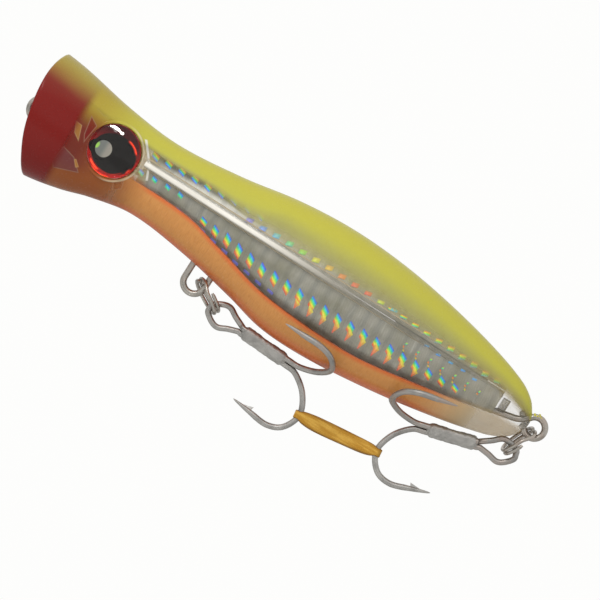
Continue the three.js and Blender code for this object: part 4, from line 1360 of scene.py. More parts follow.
@dataclass
class Foil:
    """Pleated foil strips under the shell and the prism tiles pressed in them."""

    front: float = 28.75
    rear: float = 122.0
    thickness: float = 0.4
    depth: float = 1.9
    split: float = 2.55
    split_gap: float = 0.3
    back_margin: float = 4.2
    pleat: float = 0.07
    pitch: float = 3.3

    def strip(self, name: str, low: Callable, high: Callable) -> bpy.types.Object:
        """Closed strip between two edges."""
        backs = np.linspace(self.front, self.rear, 283)
        rows = []
        for back in backs:
            bottom, top = float(low(back)), float(high(back))
            top = max(top, bottom + 0.6)
            phase = abs(((back / self.pitch) % 1) - 0.5) * 2 - 0.5
            heights = np.linspace(bottom, top, 15)
            outer = FORM.flank_at(back, heights, self.depth + self.pleat * (0.5 - phase))
            inner = FORM.flank_at(back, heights[::-1], self.depth + self.thickness)
            rows.append(np.concatenate([outer, inner]))
        return lofted(name, np.array(rows), crease=30.0)

    def rows(self) -> list[TileRow]:
        """The rows of tiles, from the back down."""
        return [
            TileRow(
                29.7, 56.5, Profile((29, 4.7), (42, 5.2), (50, 5.7), (56, 5.9)), flat(1.55), 1.7,
                flat(0.08), 0.9,
            ),
            TileRow(
                54.6, 91.8, Profile((54, 4.3), (62, 4.6), (75, 4.75), (92, 4.5)),
                Profile((54, 1.2), (80, 1.1), (92, 0.6)), 1.55,
                Profile((54, 0.02), (61, 0.28), (66, 0.45), (72, 0.62), (80, 0.92), (86, 0.95), (90, 0.3)),
                0.06, TileShape.UP, 3.38, 0.25,
            ),
            TileRow(
                91.2, 122.0, Profile((91, 4.35), (110, 4.1), (122, 3.6)),
                Profile((91, 0.5), (105, 1.2), (115, 1.5), (122, 1.1)), 1.55, flat(0.3), 0.6, TileShape.UP,
                3.12,
            ),
            TileRow(
                46.2, 115.0,
                Profile(
                    (46, -1.9), (53, -2.85), (60, -3.95), (70, -4.4), (85, -4.5), (100, -4.0), (108, -3.6),
                    (115, -2.6),
                ),
                Profile((46, 1.3), (53, 2.4), (60, 2.5), (90, 2.2), (105, 1.9), (115, 1.0)), 1.6, flat(1.0),
                -0.9, TileShape.DOWN, 3.3,
            ),
            TileRow(
                73.0, 106.0, Profile((73, -6.5), (85, -6.3), (98, -5.9), (106, -4.8)),
                Profile((73, 2.0), (88, 3.0), (100, 2.4), (106, 1.2)), 1.6, flat(1.0), -0.34,
                TileShape.ARROW, 3.3, 0.12,
            ),
            TileRow(
                28.9, 41.0, Profile((29, 0.0), (33, 0.2), (41, 0.5)), flat(0.95), 1.3, flat(0.5), -0.36,
                TileShape.DOWN, 3.3,
            ),
            TileRow(
                40.3, 68.0, Profile((40, -2.6), (47, -3.6), (54, -4.9), (62, -6.4), (68, -6.9)), flat(0.7),
                1.6, flat(0.06), 0.04, TileShape.DOWN, 3.3, 0.35,
            ),
            TileRow(
                102.0, 117.5, Profile((102, 1.75), (117, 1.2)), flat(0.5), 1.1, flat(0.22), 0.06,
                TileShape.UP, 3.2, 0.3,
            ),
            TileRow(98.0, 120.0, flat(-0.4), flat(0.45), 0.4, flat(0.35), 0.3, TileShape.UP, 3.2),
            TileRow(97.8, 120.0, flat(-1.3), flat(0.4), 0.35, flat(0.75), 0.2, TileShape.DOWN, 3.2),
            TileRow(98.2, 117.0, flat(-2.0), flat(0.35), 0.4, flat(0.55), 0.3, TileShape.DOWN, 3.2),
            TileRow(
                62.0, 108.0, Profile((62, 8.6), (80, 9.6), (108, 6.4)), flat(1.0), 1.2, flat(0.1), 0.1,
                TileShape.DOWN, 3.3, 0.75,
            ),
        ]

    def tile(self, shape: TileShape) -> bpy.types.Object:
        """One slanting tile a unit wide and a unit tall, a hair thick, lying in the XZ plane."""
        lean, foot = shape.value
        grid = 5
        spots = [
            (a * (foot + (1 - foot) * b), b)
            for b in np.linspace(0, 1, grid) for a in np.linspace(-0.5, 0.5, 3)
        ]
        front = [(-a, 0.0, (b - 0.5) + lean * (a - 0.5)) for a, b in spots]
        points = np.array(front + [(x, -0.04, z) for x, _, z in front])
        faces = strip_faces(grid, 3, False)
        faces += [tuple(i + len(front) for i in f[::-1]) for f in faces]
        rim = [
            0, 1, 2, *range(5, len(front), 3), *range(len(front) - 2, len(front) - 4, -1),
            *range(len(front) - 6, 0, -3),
        ]
        rim = list(dict.fromkeys(rim))
        faces += [(a, b, b + len(front), a + len(front)) for a, b in zip(rim, rim[1:] + rim[:1])]
        obj = mesh_object(f"tile_{shape.name.lower()}", points / MM, faces)
        add_attribute(obj, "lift", np.tile(np.repeat(np.linspace(0, 1, grid), 3), 2))
        with edited(obj.data) as bm:
            bmesh.ops.recalc_face_normals(bm, faces=bm.faces)
        return obj

    def tiles(
        self, row: TileRow, number: int, tile: bpy.types.Object, tree: Tree, material: bpy.types.Material,
    ) -> bpy.types.Object:
        """Runs the tile tree over one row."""
        rng = np.random.default_rng(100 + number)
        backs = np.arange(row.first, row.last, row.pitch)
        heights = row.height(backs) + rng.normal(0, 0.06, len(backs))
        spots = FORM.flank_at(backs, heights, self.depth - 0.07)
        ahead = FORM.flank_at(
            backs - 0.5, heights, self.depth,
        ) - FORM.flank_at(backs + 0.5, heights, self.depth)
        above = FORM.flank_at(
            backs, heights + 0.5, self.depth,
        ) - FORM.flank_at(backs, heights - 0.5, self.depth)
        mesh = bpy.data.meshes.new(f"row_{number}")
        mesh.from_pydata((spots * MM).tolist(), [], [])
        obj = linked(f"row_{number}", mesh)
        turn = np.stack(
            [np.arctan2(above[:, 1], above[:, 2]) * -1, 0 * backs, np.arctan2(ahead[:, 1], ahead[:, 0])],
            -1,
        )
        tall = row.tall(backs)
        size = np.stack([0 * backs + row.wide, 0 * backs + 0.8, tall], -1) * MM
        for name, vectors in (("turn", turn), ("size", size)):
            layer = mesh.attributes.new(name, "FLOAT_VECTOR", "POINT")
            layer.data.foreach_set("vector", vectors.astype(np.float32).ravel())
        add_attribute(obj, "hue_low", row.hue_low(backs) + rng.normal(0, 0.015, len(backs)))
        add_attribute(obj, "hue_span", 0 * backs + row.hue_span)
        add_attribute(obj, "pale", 0 * backs + row.pale)
        return tree.grow(obj, Tile=tile, Material=material)

    def build(self, side: Side, tree: Tree, palette: Palette) -> None:
        """Makes the two strips and the tiles of one side."""
        lower = self.strip(
            f"lower_foil_{side.label}", FORM.foil_edge, lambda b: self.split - self.split_gap / 2,
        )
        upper = self.strip(
            f"upper_foil_{side.label}", lambda b: self.split + self.split_gap / 2,
            lambda b: FORM.top(b) - self.back_margin,
        )
        for obj, which in ((lower, "lower"), (upper, "upper")):
            mirror(obj, side)
            dress(obj, palette.foil)
            place_piece(obj, "lure_body", "foil", f"foil_{which}_{side.label}")
        shapes = {shape: self.tile(shape) for shape in TileShape}
        rows = [
            self.tiles(row, i, shapes[row.shape], tree, palette.tile) for i, row in enumerate(self.rows())
        ]
        for shape in shapes.values():
            bpy.data.objects.remove(shape)
        tiles = mirror(joined(f"prism_tiles_{side.label}", rows), side)
        place_piece(tiles, "lure_body", "foil")


@dataclass
class HeadInside:
    """Moulded webs and gussets between the cup and the eyes, seen through the shell."""

    depth: float = 3.2
    thickness: float = 0.7
    taper: float = 0.9

    def build(self, side: Side, palette: Palette) -> None:
        """Makes the plates of one side."""
        for name, (outline, _) in FACETS.items():
            spots = np.array(outline)
            outer = FORM.flank_at(spots[:, 0], spots[:, 1], self.depth)
            centre = outer.mean(0)
            small = centre + (outer - centre) * self.taper
            levels = ((small, 1.0), (outer, 0.75), (outer, 0.25), (small, 0.0))
            rows = [row + (0, -self.thickness * level, 0) for row, level in levels]
            obj = mirror(lofted(f"{name}_{side.label}", np.array(rows), crease=25.0), side)
            dress(obj, palette.amber if "sliver" in name else palette.plum)
            place_piece(obj, "lure_body", "shell_plastic")


@dataclass
class TailInside:
    """Posts, key and plug edge in the clear tail."""

    def build(self, palette: Palette) -> None:
        """Makes the posts."""
        posts = (
            ("tail_post_front", 121.1, 1.3, 1.0, 3.9), ("tail_post_rear", 128.0, 0.45, 0.75, 1.1),
            ("seam_pin", 100.6, 7.2, 0.9, 4.0),
        )
        for name, back, z, radius, half in posts:
            bevel = 0.25
            profile = [(0.0, -half), (radius - bevel, -half), (radius, -half + bevel), (radius * 0.8, 0.0),
                       (radius, half - bevel), (radius - bevel, half), (0.0, half)]
            obj = lathe(name, profile, Matrix.Translation((float(FORM.x(back)), 0, z)), sides=48)
            dress(obj, palette.smoke)
            place_piece(obj, "lure_body", "shell_plastic")
        key = [(125.9, 2.4), (127.0, 2.4), (127.0, 3.7), (125.9, 3.7)]
        block = [(122.6, -1.5), (124.3, -1.5), (124.3, 1.3), (122.6, 1.3)]
        for name, outline, half in (("tail_key", key, 1.2), ("tail_block", block, 2.0)):
            flat_rows = [(float(FORM.x(b)), z) for b, z in outline]
            middle = np.mean(flat_rows, axis=0)
            rows = []
            for y, grow in ((-half, 0.85), (-half + 0.2, 1.0), (half - 0.2, 1.0), (half, 0.85)):
                rows.append([
                    (middle[0] + (x - middle[0]) * grow, y, middle[1] + (z - middle[1]) * grow)
                    for x, z in flat_rows
                ])
            obj = lofted(name, np.array(rows), crease=25.0)
            dress(obj, palette.smoke)
            place_piece(obj, "lure_body", "shell_plastic")


# ---- metal work ------------------------------------------------------------------------


@dataclass
class ThroughWire:
    """The one wire that holds everything: line tie, belly eye and tail eye."""

    wire: float = 1.5
    tie_outer: float = 6.4
    tail_outer: float = 6.2
    hanger_back: float = 51.55
    hanger_width: float = 5.0
    hanger_drop: float = 3.0
    run_drop: float = 3.5
    run_corner: float = 3.0
    tail_plug: float = 6.5
    tail_reach: float = 1.8
    tail_drop: float = 0.8

    @property
    def hanger(self) -> tuple[float, float]:
        """Centre of the belly eye, lengthwise and up."""
        return float(FORM.x(self.hanger_back)), float(FORM.bottom(self.hanger_back)) - self.hanger_drop

    @property
    def tail_eye(self) -> tuple[float, float]:
        """Centre of the tail eye."""
        return float(FORM.x(FORM.length + self.tail_reach)), -self.tail_drop

    def route(self) -> np.ndarray:
        """Centre line of the wire in mm."""
        tie = (self.tie_outer - self.wire) / 2
        tail = (self.tail_outer - self.wire) / 2
        legs = [float(FORM.x(self.hanger_back + s * self.hanger_width / 2)) for s in (-1, 1)]
        low = self.hanger[1] + self.wire
        loop = arc(self.tail_eye, tail, 40, 325, 60)
        front = rounded([(-1.5 * tie, 0, 0), (legs[0], 0, 0), (legs[0], 0, low)], self.run_corner)
        rear = rounded([
            (legs[1], 0, low), (legs[1], 0, -self.run_drop),
            (float(FORM.x(FORM.length - 2 * self.tail_plug)), 0, -self.run_drop),
            tuple(loop[0] + (1.4 * self.wire, 0, -1.2 * self.wire)), tuple(loop[0]),
        ], self.run_corner)
        return np.concatenate([
            arc((0, 0), tie, -145, 150, 60), front, arc(self.hanger, self.hanger_width / 2, 0, -180, 40),
            rear[:-1], loop,
        ])

    def build(self, tree: Tree, palette: Palette) -> None:
        """Makes the wire and the overspray on its tail eye."""
        obj = wire_body("through_wire_bent", self.route(), self.wire / 2, tree, palette.ring, 24)
        place_piece(obj, "lure_body", "wire_steel", "through_wire")
        rng = np.random.default_rng(7)
        bits = []
        radius = (self.tail_outer - self.wire) / 2
        for i in range(9):
            angle = math.radians(rng.uniform(55, 110))
            lift = self.wire / 2 * rng.uniform(0.92, 0.98)
            side = math.radians(rng.uniform(-30, 80))
            reach = radius + lift * math.cos(side)
            place = (
                self.tail_eye[0] + math.cos(angle) * reach, lift * math.sin(side),
                self.tail_eye[1] + math.sin(angle) * reach,
            )
            size = rng.uniform(0.12, 0.3)
            bits.append(blob(f"speck_{i}", np.array(place), size, rng))
        obj = dress(joined("overspray_specks", bits), palette.specks)
        place_piece(obj, "lure_body", "wire_steel")


def blob(name: str, centre: np.ndarray, size: float, rng: np.random.Generator) -> bpy.types.Object:
    """Small uneven lump in mm."""
    mesh = bpy.data.meshes.new(name)
    with edited(mesh) as bm:
        bmesh.ops.create_icosphere(bm, subdivisions=2, radius=size * MM)
        for vertex in bm.verts:
            vertex.co *= rng.uniform(0.8, 1.1)
            vertex.co += Vector(centre * MM)
    mesh.shade_smooth()
    return linked(name, mesh)


@dataclass
class SplitRing:
    """Two turns of wire hanging from a hinge."""

    name: str
    body: str
    hinge: tuple[float, float]
    swing: float
    outer: float = 8.9
    wire: float = 0.84
    turn_gap: float = 0.1
    turns: float = 1.83
    step_at: float = 0.86
    tilt: float = 10.0

    @property
    def radius(self) -> float:
        """Radius of the wire's centre line."""
        return (self.outer - self.wire) / 2

    @property
    def lower_hinge(self) -> tuple[float, float]:
        """Where the treble hangs."""
        drop = turned(np.array([[0, 0, -2 * self.radius]]), self.swing, "Y")[0]
        return self.hinge[0] + drop[0], self.hinge[1] + drop[2]

    def build(self, tree: Tree, palette: Palette) -> None:
        """Makes the ring."""
        turns = np.linspace(0, self.turns, 220)
        share = np.clip((turns - self.step_at) / (1 - self.step_at), 0, 1)
        shift = (share * share * (3 - 2 * share) - 0.5) * (self.wire + self.turn_gap)
        angle = (turns + 0.25) * 2 * math.pi
        points = np.stack(
            [shift, np.sin(angle) * self.radius, -self.radius + np.cos(angle) * self.radius], -1,
        )
        points = turned(turned(points, self.tilt, "Z"), self.swing, "Y")
        points += (self.hinge[0], 0, self.hinge[1])
        ends = np.minimum(np.arange(len(turns)), np.arange(len(turns))[::-1])
        radii = self.wire / 2 * (0.62 + 0.38 * np.clip(ends / 3, 0, 1))
        obj = wire_body(self.name + "_coil", points, radii, tree, palette.ring, 18)
        place_piece(obj, self.body, "ring_steel", self.name)


@dataclass
class Treble:
    """Three hooks brazed on one shank."""

    name: str
    hinge: tuple[float, float]
    pitch: float
    forward: bool
    slack: float
    wire: float = 1.35
    reach: float = 28.4
    gape: float = 14.0
    tip: float = 0.1
    point_length: float = 6.0
    eye_width: float = 3.8
    eye_neck: float = 6.8
    braze_start: float = 8.0
    braze_length: float = 10.5
    shank_lead: float = 0.4
    fit: float = 0.1
    ring_wire: float = 0.84

    @property
    def offset(self) -> float:
        """Distance of each shank from the middle."""
        return (self.wire + self.fit) / math.sqrt(3)

    def to_row(self, points: np.ndarray) -> np.ndarray:
        """From the hook's own frame to the lure's."""
        points = turned(points, 180 if self.forward else 0, "Z")
        return turned(points, self.pitch, "Y") + (self.hinge[0], 0, self.hinge[1])

    def band_seat(self) -> tuple[float, float]:
        """Where the rubber band crosses the lower hook."""
        along = (self.reach - self.slack) * (1 if self.forward else -1)
        seat = turned(np.array([[along, 0, -BAND_SEAT]]), self.pitch, "Y")[0]
        return self.hinge[0] + seat[0], self.hinge[1] + seat[2]

    def hook(self, degrees: float) -> np.ndarray:
        """Centre line of one hook, shank to point."""
        reach, gape, off = self.reach - self.slack, self.gape, self.offset
        outline = [
            (reach - 0.64 * gape, off), (reach - 0.43 * gape, off + 0.02 * gape),
            (reach - 0.16 * gape, 0.27 * gape), (reach, 0.57 * gape), (reach - 0.1 * gape, 0.87 * gape),
            (reach - 0.34 * gape, gape), (reach - 0.68 * gape, 0.985 * gape), (reach - gape, 0.96 * gape),
        ]
        bend = smooth_path([(-along, 0, -out) for along, out in outline], 90)
        start = self.braze_start - self.slack - self.shank_lead
        lead = [(-start - (bend[0, 0] * -1 - start) * s, 0, -off) for s in np.linspace(0, 1, 8)[:-1]]
        return turned(np.concatenate([lead, bend]), degrees, "X")

    def eye(self) -> np.ndarray:
        """Centre line of the eye, upper side of the neck round to the lower side."""
        half = (self.eye_width + self.wire) / 2
        tip = (self.ring_wire + self.wire) / 2 + self.fit + self.slack
        neck = self.eye_neck - self.slack
        side = (self.wire + self.fit) / 2
        places = [
            (neck, side), (neck - 2.2, 0.62 * half), (half - self.slack, half),
            (0.35 * half - self.slack, 0.9 * half), (-tip + 0.2, 0.42 * half), (-tip, 0),
            (-tip + 0.2, -0.42 * half), (0.35 * half - self.slack, -0.9 * half), (half - self.slack, -half),
            (neck - 2.2, -0.62 * half), (neck, -side),
        ]
        return smooth_path([(-along, 0, up) for along, up in places], 110)

    def radii(self, points: np.ndarray, ends: Sequence[int]) -> np.ndarray:
        """Wire radius that narrows to each point."""
        nearest = np.min([np.linalg.norm(points - points[end], axis=1) for end in ends], axis=0)
        share = np.clip(nearest / self.point_length, 0, 1)
        return (self.tip + (self.wire - self.tip) * share**0.6) / 2

    def barb(self, points: np.ndarray, degrees: float) -> bpy.types.Object:
        """Small cut barb behind a hook's point, on the side of the shank; points end at the tip."""
        back = np.linalg.norm(points - points[-1], axis=1)
        root, heel = points[np.argmin(abs(back - 2.0))], points[np.argmin(abs(back - 4.6))]
        inward = turned(np.array([[0.0, 0.0, 1.0]]), degrees, "X")[0]
        cross = np.cross(inward, (1.0, 0.0, 0.0))
        apex = heel + inward * 1.35 + (heel - root) * 0.12
        spots = [root + inward * 0.25, root - inward * 0.1]
        for side in (-1, 1):
            spots += [heel + cross * 0.3 * side, root + cross * 0.16 * side, apex + cross * 0.05 * side]
        mesh = bpy.data.meshes.new("barb")
        with edited(mesh) as bm:
            for spot in self.to_row(np.array(spots)):
                bm.verts.new(spot * MM)
            bmesh.ops.convex_hull(bm, input=bm.verts)
        return tidy(linked("barb", mesh))

    def braze(self) -> bpy.types.Object:
        """Solder that has run round the three shanks."""
        start = self.braze_start - self.slack - 0.5
        length = self.braze_length + 1.2
        rows = []
        turn = np.linspace(0, 2 * math.pi, 72, endpoint=False)
        rng = np.random.default_rng(11)
        phase = rng.uniform(0, 6.28, (6, 2))
        for share in np.linspace(0, 1, 64):
            rod = self.wire / 2 + 0.16
            radius = np.zeros_like(turn)
            for degrees in (-90, 30, 150):
                gap = turn - math.radians(degrees)
                inside = np.maximum(rod**2 - (self.offset * np.sin(gap)) ** 2, 0)
                radius = np.maximum(
                    radius, np.where(np.cos(gap) > 0, self.offset * np.cos(gap) + np.sqrt(inside), 0),
                )
            smooth = self.offset + rod - 0.1
            radius = np.maximum(radius, smooth * (0.86 + 0.06 * math.sin(share * 9)))
            ends = min(share, 1 - share)
            radius = radius * (0.55 + 0.45 * math.sqrt(min(ends / 0.1, 1))) + (0.1 if ends > 0.05 else 0)
            for k, (a, b) in enumerate(phase):
                radius = radius + 0.03 * np.sin((k + 2) * turn + a) * math.sin((k * 3 + 4) * share * 3 + b)
            radius = np.minimum(radius, self.offset + rod + 0.12)
            rows.append(
                np.stack(
                    [0 * turn - start - length * share, np.cos(turn) * radius, np.sin(turn) * radius], -1,
                )
            )
        rings = np.array([self.to_row(row) for row in rows])
        return lofted(f"{self.name}_solder", rings)

    def build(self, tree: Tree, palette: Palette) -> None:
        """Makes the double hook, the single hook and the solder."""
        left, lower, right = (self.hook(d) for d in (120, 0, -120))
        double = np.concatenate([left[::-1], self.eye(), lower])
        for kind, path, ends, tips in (
            ("double", double, (0, -1), ((left, 120), (lower, 0))),
            ("single", right, (-1,), ((right, -120),)),
        ):
            name = f"{self.name}_{kind}_hook"
            bent = wire_body(
                f"{name}_wire", self.to_row(path), self.radii(path, ends), tree, palette.hook, 20,
            )
            barbs = [dress(self.barb(points, degrees), palette.hook) for points, degrees in tips]
            obj = joined(f"{name}_forged", [bent, *barbs])
            place_piece(obj, self.name, "hook_steel", name)
        solder = dress(self.braze(), palette.solder)
        place_piece(solder, self.name, "braze", f"{self.name}_braze")


@dataclass
class Band:
    """Rubber band stretched round the two lower hooks."""

    front: tuple[float, float]
    rear: tuple[float, float]
    height: float = 3.3
    thickness: float = 0.95
    wire_gap: float = 0.72

    def build(self, palette: Palette) -> None:
        """Makes the closed loop: two strands and two turns round the wires."""
        front, rear = np.array(self.front), np.array(self.rear)
        run = front - rear
        half = np.linalg.norm(run) / 2
        lengthwise = run / np.linalg.norm(run)
        middle = (front + rear) / 2
        path = []
        for sign in (1, -1):
            path += [(sign * s * half, -sign * self.wire_gap) for s in np.linspace(-1, 1, 60)[:-1]]
            path += [(sign * (half + math.cos(a) * self.wire_gap), sign * math.sin(a) * self.wire_gap)
                     for a in np.linspace(-math.pi / 2, math.pi / 2, 24)[:-1]]
        spots = np.array(path)
        count = len(spots)
        ahead = np.roll(spots, -1, 0) - np.roll(spots, 1, 0)
        ahead /= np.linalg.norm(ahead, axis=1)[:, None]
        section = (
            (-1, -0.6), (-0.9, -1), (-0.3, -0.9), (0.3, -0.92), (0.9, -1), (1, -0.6), (1, 0.6), (0.9, 1),
            (0.3, 0.92), (-0.3, 0.88), (-0.9, 1), (-1, 0.6),
        )
        rows, across = [], []
        for i, (s, y) in enumerate(spots):
            share = s / half
            tall = self.height / 2 * (1.0 - 0.42 * min(abs(share), 1) ** 6 + 0.05 * math.sin(3 * share + y))
            sag = -0.35 * (1 - min(abs(share), 1) ** 2) * (1 if y < 0 else 0.4)
            twist = math.radians(12) * math.sin(
                share * 2.2 + (0.4 if y > 0 else 2.0)
            ) * (1 - min(abs(share), 1) ** 4)
            normal = np.array([ahead[i, 1], -ahead[i, 0]])
            ring = []
            for a, b in section:
                up, out = a * tall, b * self.thickness / 2
                up, out = up * math.cos(
                    twist
                ) - out * math.sin(twist), up * math.sin(twist) + out * math.cos(twist)
                along = s + normal[0] * out
                local_z = up + sag
                x = middle[0] + lengthwise[0] * along - lengthwise[1] * local_z
                z = middle[1] + lengthwise[1] * along + lengthwise[0] * local_z
                ring.append((x, y + normal[1] * out, z))
                across.append(a)
            rows.append(ring)
        faces = strip_faces(count, len(section), True)
        last, wide = (count - 1) * len(section), len(section)
        faces += [(last + k, last + (k + 1) % wide, (k + 1) % wide, k) for k in range(wide)]
        obj = mesh_object("stretched_band", np.array(rows), faces)
        add_attribute(obj, "across", np.array(across))
        with edited(obj.data) as bm:
            bmesh.ops.recalc_face_normals(bm, faces=bm.faces)
        rounding = obj.modifiers.new("rounding", "SUBSURF")
        rounding.levels = rounding.render_levels = 1
        baked(obj)
        obj.data.shade_smooth()
        dress(obj, palette.rubber)
        place_piece(obj, "front_treble", "band_rubber", "rubber_band")
        anchor = (self.front[0] * MM, 0, self.front[1] * MM)
        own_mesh(obj)


@dataclass
class Rattle:
    """Clear tube with three loose balls, and the cast belly weight."""

    front: float = 93.5
    length: float = 24.0
    radius: float = 2.9
    wall: float = 0.6
    hole: float = 0.8
    rise: float = 2.2
    ball: float = 2.0
    ball_fit: float = 0.3

    def build(self, palette: Palette) -> None:
        """Makes the tube, the balls and the weight."""
        inner = self.radius - self.wall
        lie = Matrix.Translation((
            float(FORM.x(self.front)), 0, self.rise,
        )) @ Matrix.Rotation(math.pi / 2, 4, "Z")
        edge = 0.15
        profile = [
            (self.hole, 0), (self.radius - edge, 0), (self.radius, edge), (self.radius, self.length - edge),
            (self.radius - edge, self.length), (self.hole, self.length), (self.hole, self.length - self.wall),
            (inner, self.length - self.wall), (inner, self.wall), (self.hole, self.wall), (self.hole, 0),
        ]
        tube = dress(lathe("rattle_tube_clear", profile, lie, sides=48), palette.tube)
        place_piece(tube, "lure_body", "tube_plastic", "rattle_tube")
        for i in range(RATTLE_BALLS):
            back = self.front + self.wall + self.ball_fit + self.ball + i * (2 * self.ball + self.ball_fit)
            turn = np.linspace(0, math.pi, 25)
            ring = [(self.ball * math.sin(a), -self.ball * math.cos(a)) for a in turn]
            ball = lathe(
                f"ball_{i + 1}_polished", ring, Matrix.Translation((float(FORM.x(back)), 0, self.rise)),
                sides=40,
            )
            place_piece(dress(ball, palette.ball), f"ball_{i + 1}", "ball_steel", f"rattle_ball_{i + 1}")
        low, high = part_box("ballast")
        centre = (low + high) / 2 / MM
        half, radius = (high.x - low.x) / 2 / MM, (high.z - low.z) / 2 / MM
        profile = [(0.0, -half), (radius - 0.7, -half), (radius - 0.2, -half + 0.2), (radius, -half + 0.7),
                   (radius, half - 0.7), (radius - 0.2, half - 0.2), (radius - 0.7, half), (0.0, half)]
        lie = Matrix.Translation(centre) @ Matrix.Rotation(math.pi / 2, 4, "Z")
        place_piece(
            dress(lathe("cast_ballast", profile, lie, sides=48), palette.lead), "lure_body",
            "ballast_steel", "ballast",
        )


# ---- studio ---------------------------------------------------------------------------------


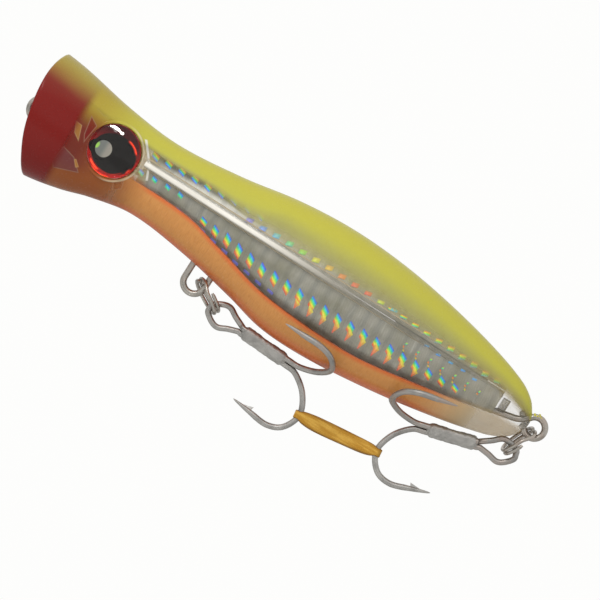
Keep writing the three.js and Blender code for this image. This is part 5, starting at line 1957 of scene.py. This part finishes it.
@dataclass
class Studio:
    """Camera, pale floor and soft light, in metres; only the rounding of the floor's edge is in mm."""

    target: tuple[float, float, float] = (-0.0706, 0.0, -0.0047)
    distance: float = 1.4
    view_width: float = 0.132
    sensor: float = 36.0
    clip: tuple[float, float] = (0.01, 10.0)
    right: tuple[float, float, float] = (-0.8441, 0.0, 0.5361)
    up: tuple[float, float, float] = (0.5361, 0.0, 0.8441)
    floor_drop: float = 0.32
    floor_size: float = 7.0
    floor_edge: float = 6.0
    seen_white: Colour = (0.985, 0.985, 0.975)
    warm_white: Colour = (1.0, 0.99, 0.97)
    soft_light: float = 0.42
    shine: float = 0.8

    def camera(self) -> None:
        """Makes the camera that looks at the left flank."""
        data = bpy.data.cameras.new("camera")
        data.sensor_width = self.sensor
        data.lens = data.sensor_width * self.distance / self.view_width
        data.clip_start, data.clip_end = self.clip
        obj = linked("camera", data)
        right, up = Vector(self.right).normalized(), Vector(self.up).normalized()
        back = right.cross(up)
        turn = Matrix((right, up, back)).transposed().to_4x4()
        obj.matrix_world = Matrix.Translation(Vector(self.target) + back * self.distance) @ turn
        bpy.context.scene.camera = obj

    def softbox(
        self, name: str, place: Sequence[float], size: Sequence[float], power: float, glossy: bool = True,
        diffuse: bool = True,
    ) -> bpy.types.Object:
        """Soft rectangular light aimed at the lure.

        Args:
            name: its name.
            place: offset from the target along the camera's right, up and back, in metres.
            size: width and height in metres.
            power: watts.
            glossy: whether polished surfaces mirror it.
            diffuse: whether it lights matt surfaces.

        Returns:
            The light's object.
        """
        light = bpy.data.lights.new(name, "AREA")
        light.shape, light.size, light.size_y, light.energy = "RECTANGLE", size[0], size[1], power
        obj = linked(name, light)
        right, up = Vector(self.right), Vector(self.up)
        offset = right * place[0] + up * place[1] + right.cross(up) * place[2]
        obj.location = Vector(self.target) + offset
        obj.visible_glossy, obj.visible_diffuse = glossy, diffuse
        obj.rotation_euler = offset.to_track_quat("Z", "Y").to_euler()
        return obj

    def surroundings(self) -> None:
        """White room: bright where the camera sees it, softer as a light."""
        world = bpy.data.worlds.new("white_room")
        bpy.context.scene.world = world
        world.use_nodes = True
        tree = world.node_tree
        tree.nodes.clear()
        path = tree.nodes.new("ShaderNodeLightPath")

        def glow(colour: Colour, strength: float) -> bpy.types.NodeSocket:
            """Plain background of one brightness."""
            node = tree.nodes.new("ShaderNodeBackground")
            node.inputs["Color"].default_value = (*colour, 1.0)
            node.inputs["Strength"].default_value = strength
            return node.outputs[0]

        def choose(
            ray: str, others: bpy.types.NodeSocket, chosen: bpy.types.NodeSocket,
        ) -> bpy.types.NodeSocket:
            """One background for a kind of ray, another for the rest."""
            mix = tree.nodes.new("ShaderNodeMixShader")
            for place, socket in enumerate((path.outputs[ray], others, chosen)):
                tree.links.new(socket, mix.inputs[place])
            return mix.outputs[0]

        soft, shine = (glow(self.warm_white, strength) for strength in (self.soft_light, self.shine))
        bounced = choose("Is Glossy Ray", soft, shine)
        seen = choose("Is Camera Ray", bounced, glow(self.seen_white, 1.0))
        tree.links.new(seen, tree.nodes.new("ShaderNodeOutputWorld").inputs[0])

    def floor(self, palette: Palette) -> None:
        """Makes the floor, a board with a rounded edge."""
        half, z = self.floor_size / 2 / MM, (self.target[2] - self.floor_drop) / MM
        edge, rows = self.floor_edge, []
        for grow, drop in ((-edge, 0.0), (-edge * 0.3, edge * 0.3), (0.0, edge), (0.0, edge * 3)):
            rows.append([(self.target[0] / MM + sx * (half + grow), sy * (half + grow), z - drop)
                         for sx, sy in ((-1, -1), (1, -1), (1, 1), (-1, 1))])
        obj = dress(lofted("floor", np.array(rows)), palette.board)

    def build(self, palette: Palette) -> None:
        """Makes all of it."""
        self.camera()
        self.surroundings()
        self.floor(palette)
        self.softbox("key", (-0.15, 0.5, 0.55), (0.6, 0.4), 3.2, False)
        self.softbox("fill", (0.2, -0.1, 0.7), (0.6, 0.6), 1.0, False)
        self.softbox("strip", (0.02, 0.6, 0.62), (0.42, 0.07), 1.0)
        window = self.softbox("window", (0.16, 0.56, 0.62), (0.5, 0.08), 120.0, diffuse=False)
        lenses = bpy.data.collections.new("lenses")
        for side in Side:
            lenses.objects.link(bpy.data.objects[f"eye_lens_{side.label}"])
        window.light_linking.receiver_collection = lenses
        scene = bpy.context.scene
        scene.view_settings.view_transform = "Standard"
        scene.view_settings.look = "None"


def main() -> None:
    """Builds the lure from its sub-assemblies and the studio round it."""
    logging.basicConfig(level=logging.INFO, format="%(message)s")
    palette = Palette()
    wires, tiles = wire_tree(), tile_tree()
    eye = Eye()
    for side in Side:
        Shell().build(side, eye, palette)
        eye.build(side, palette)
        Ridge().build(side, palette)
        Foil().build(side, tiles, palette)
        HeadInside().build(side, palette)
    TailInside().build(palette)
    Rattle().build(palette)
    wire = ThroughWire()
    wire.build(wires, palette)
    hanger, tail = wire.hanger, wire.tail_eye
    front_seat = (hanger[0] + FRONT_RING_SEAT[0], hanger[1] + FRONT_RING_SEAT[1])
    rear_seat = (tail[0] + REAR_RING_SEAT[0], tail[1] + REAR_RING_SEAT[1])
    front_ring = SplitRing("front_split_ring", "front_ring", front_seat, FRONT_RING_SWING)
    rear_ring = SplitRing("rear_split_ring", "rear_ring", rear_seat, REAR_RING_SWING)
    front = Treble("front_treble", front_ring.lower_hinge, FRONT_TREBLE_PITCH, False, FRONT_EYE_SLACK)
    rear = Treble("rear_treble", rear_ring.lower_hinge, REAR_TREBLE_PITCH, True, REAR_EYE_SLACK)
    for part in (front_ring, rear_ring, front, rear):
        part.build(wires, palette)
    Band(front.band_seat(), rear.band_seat()).build(palette)
    Studio().build(palette)


if __name__ == "__main__":
    main()
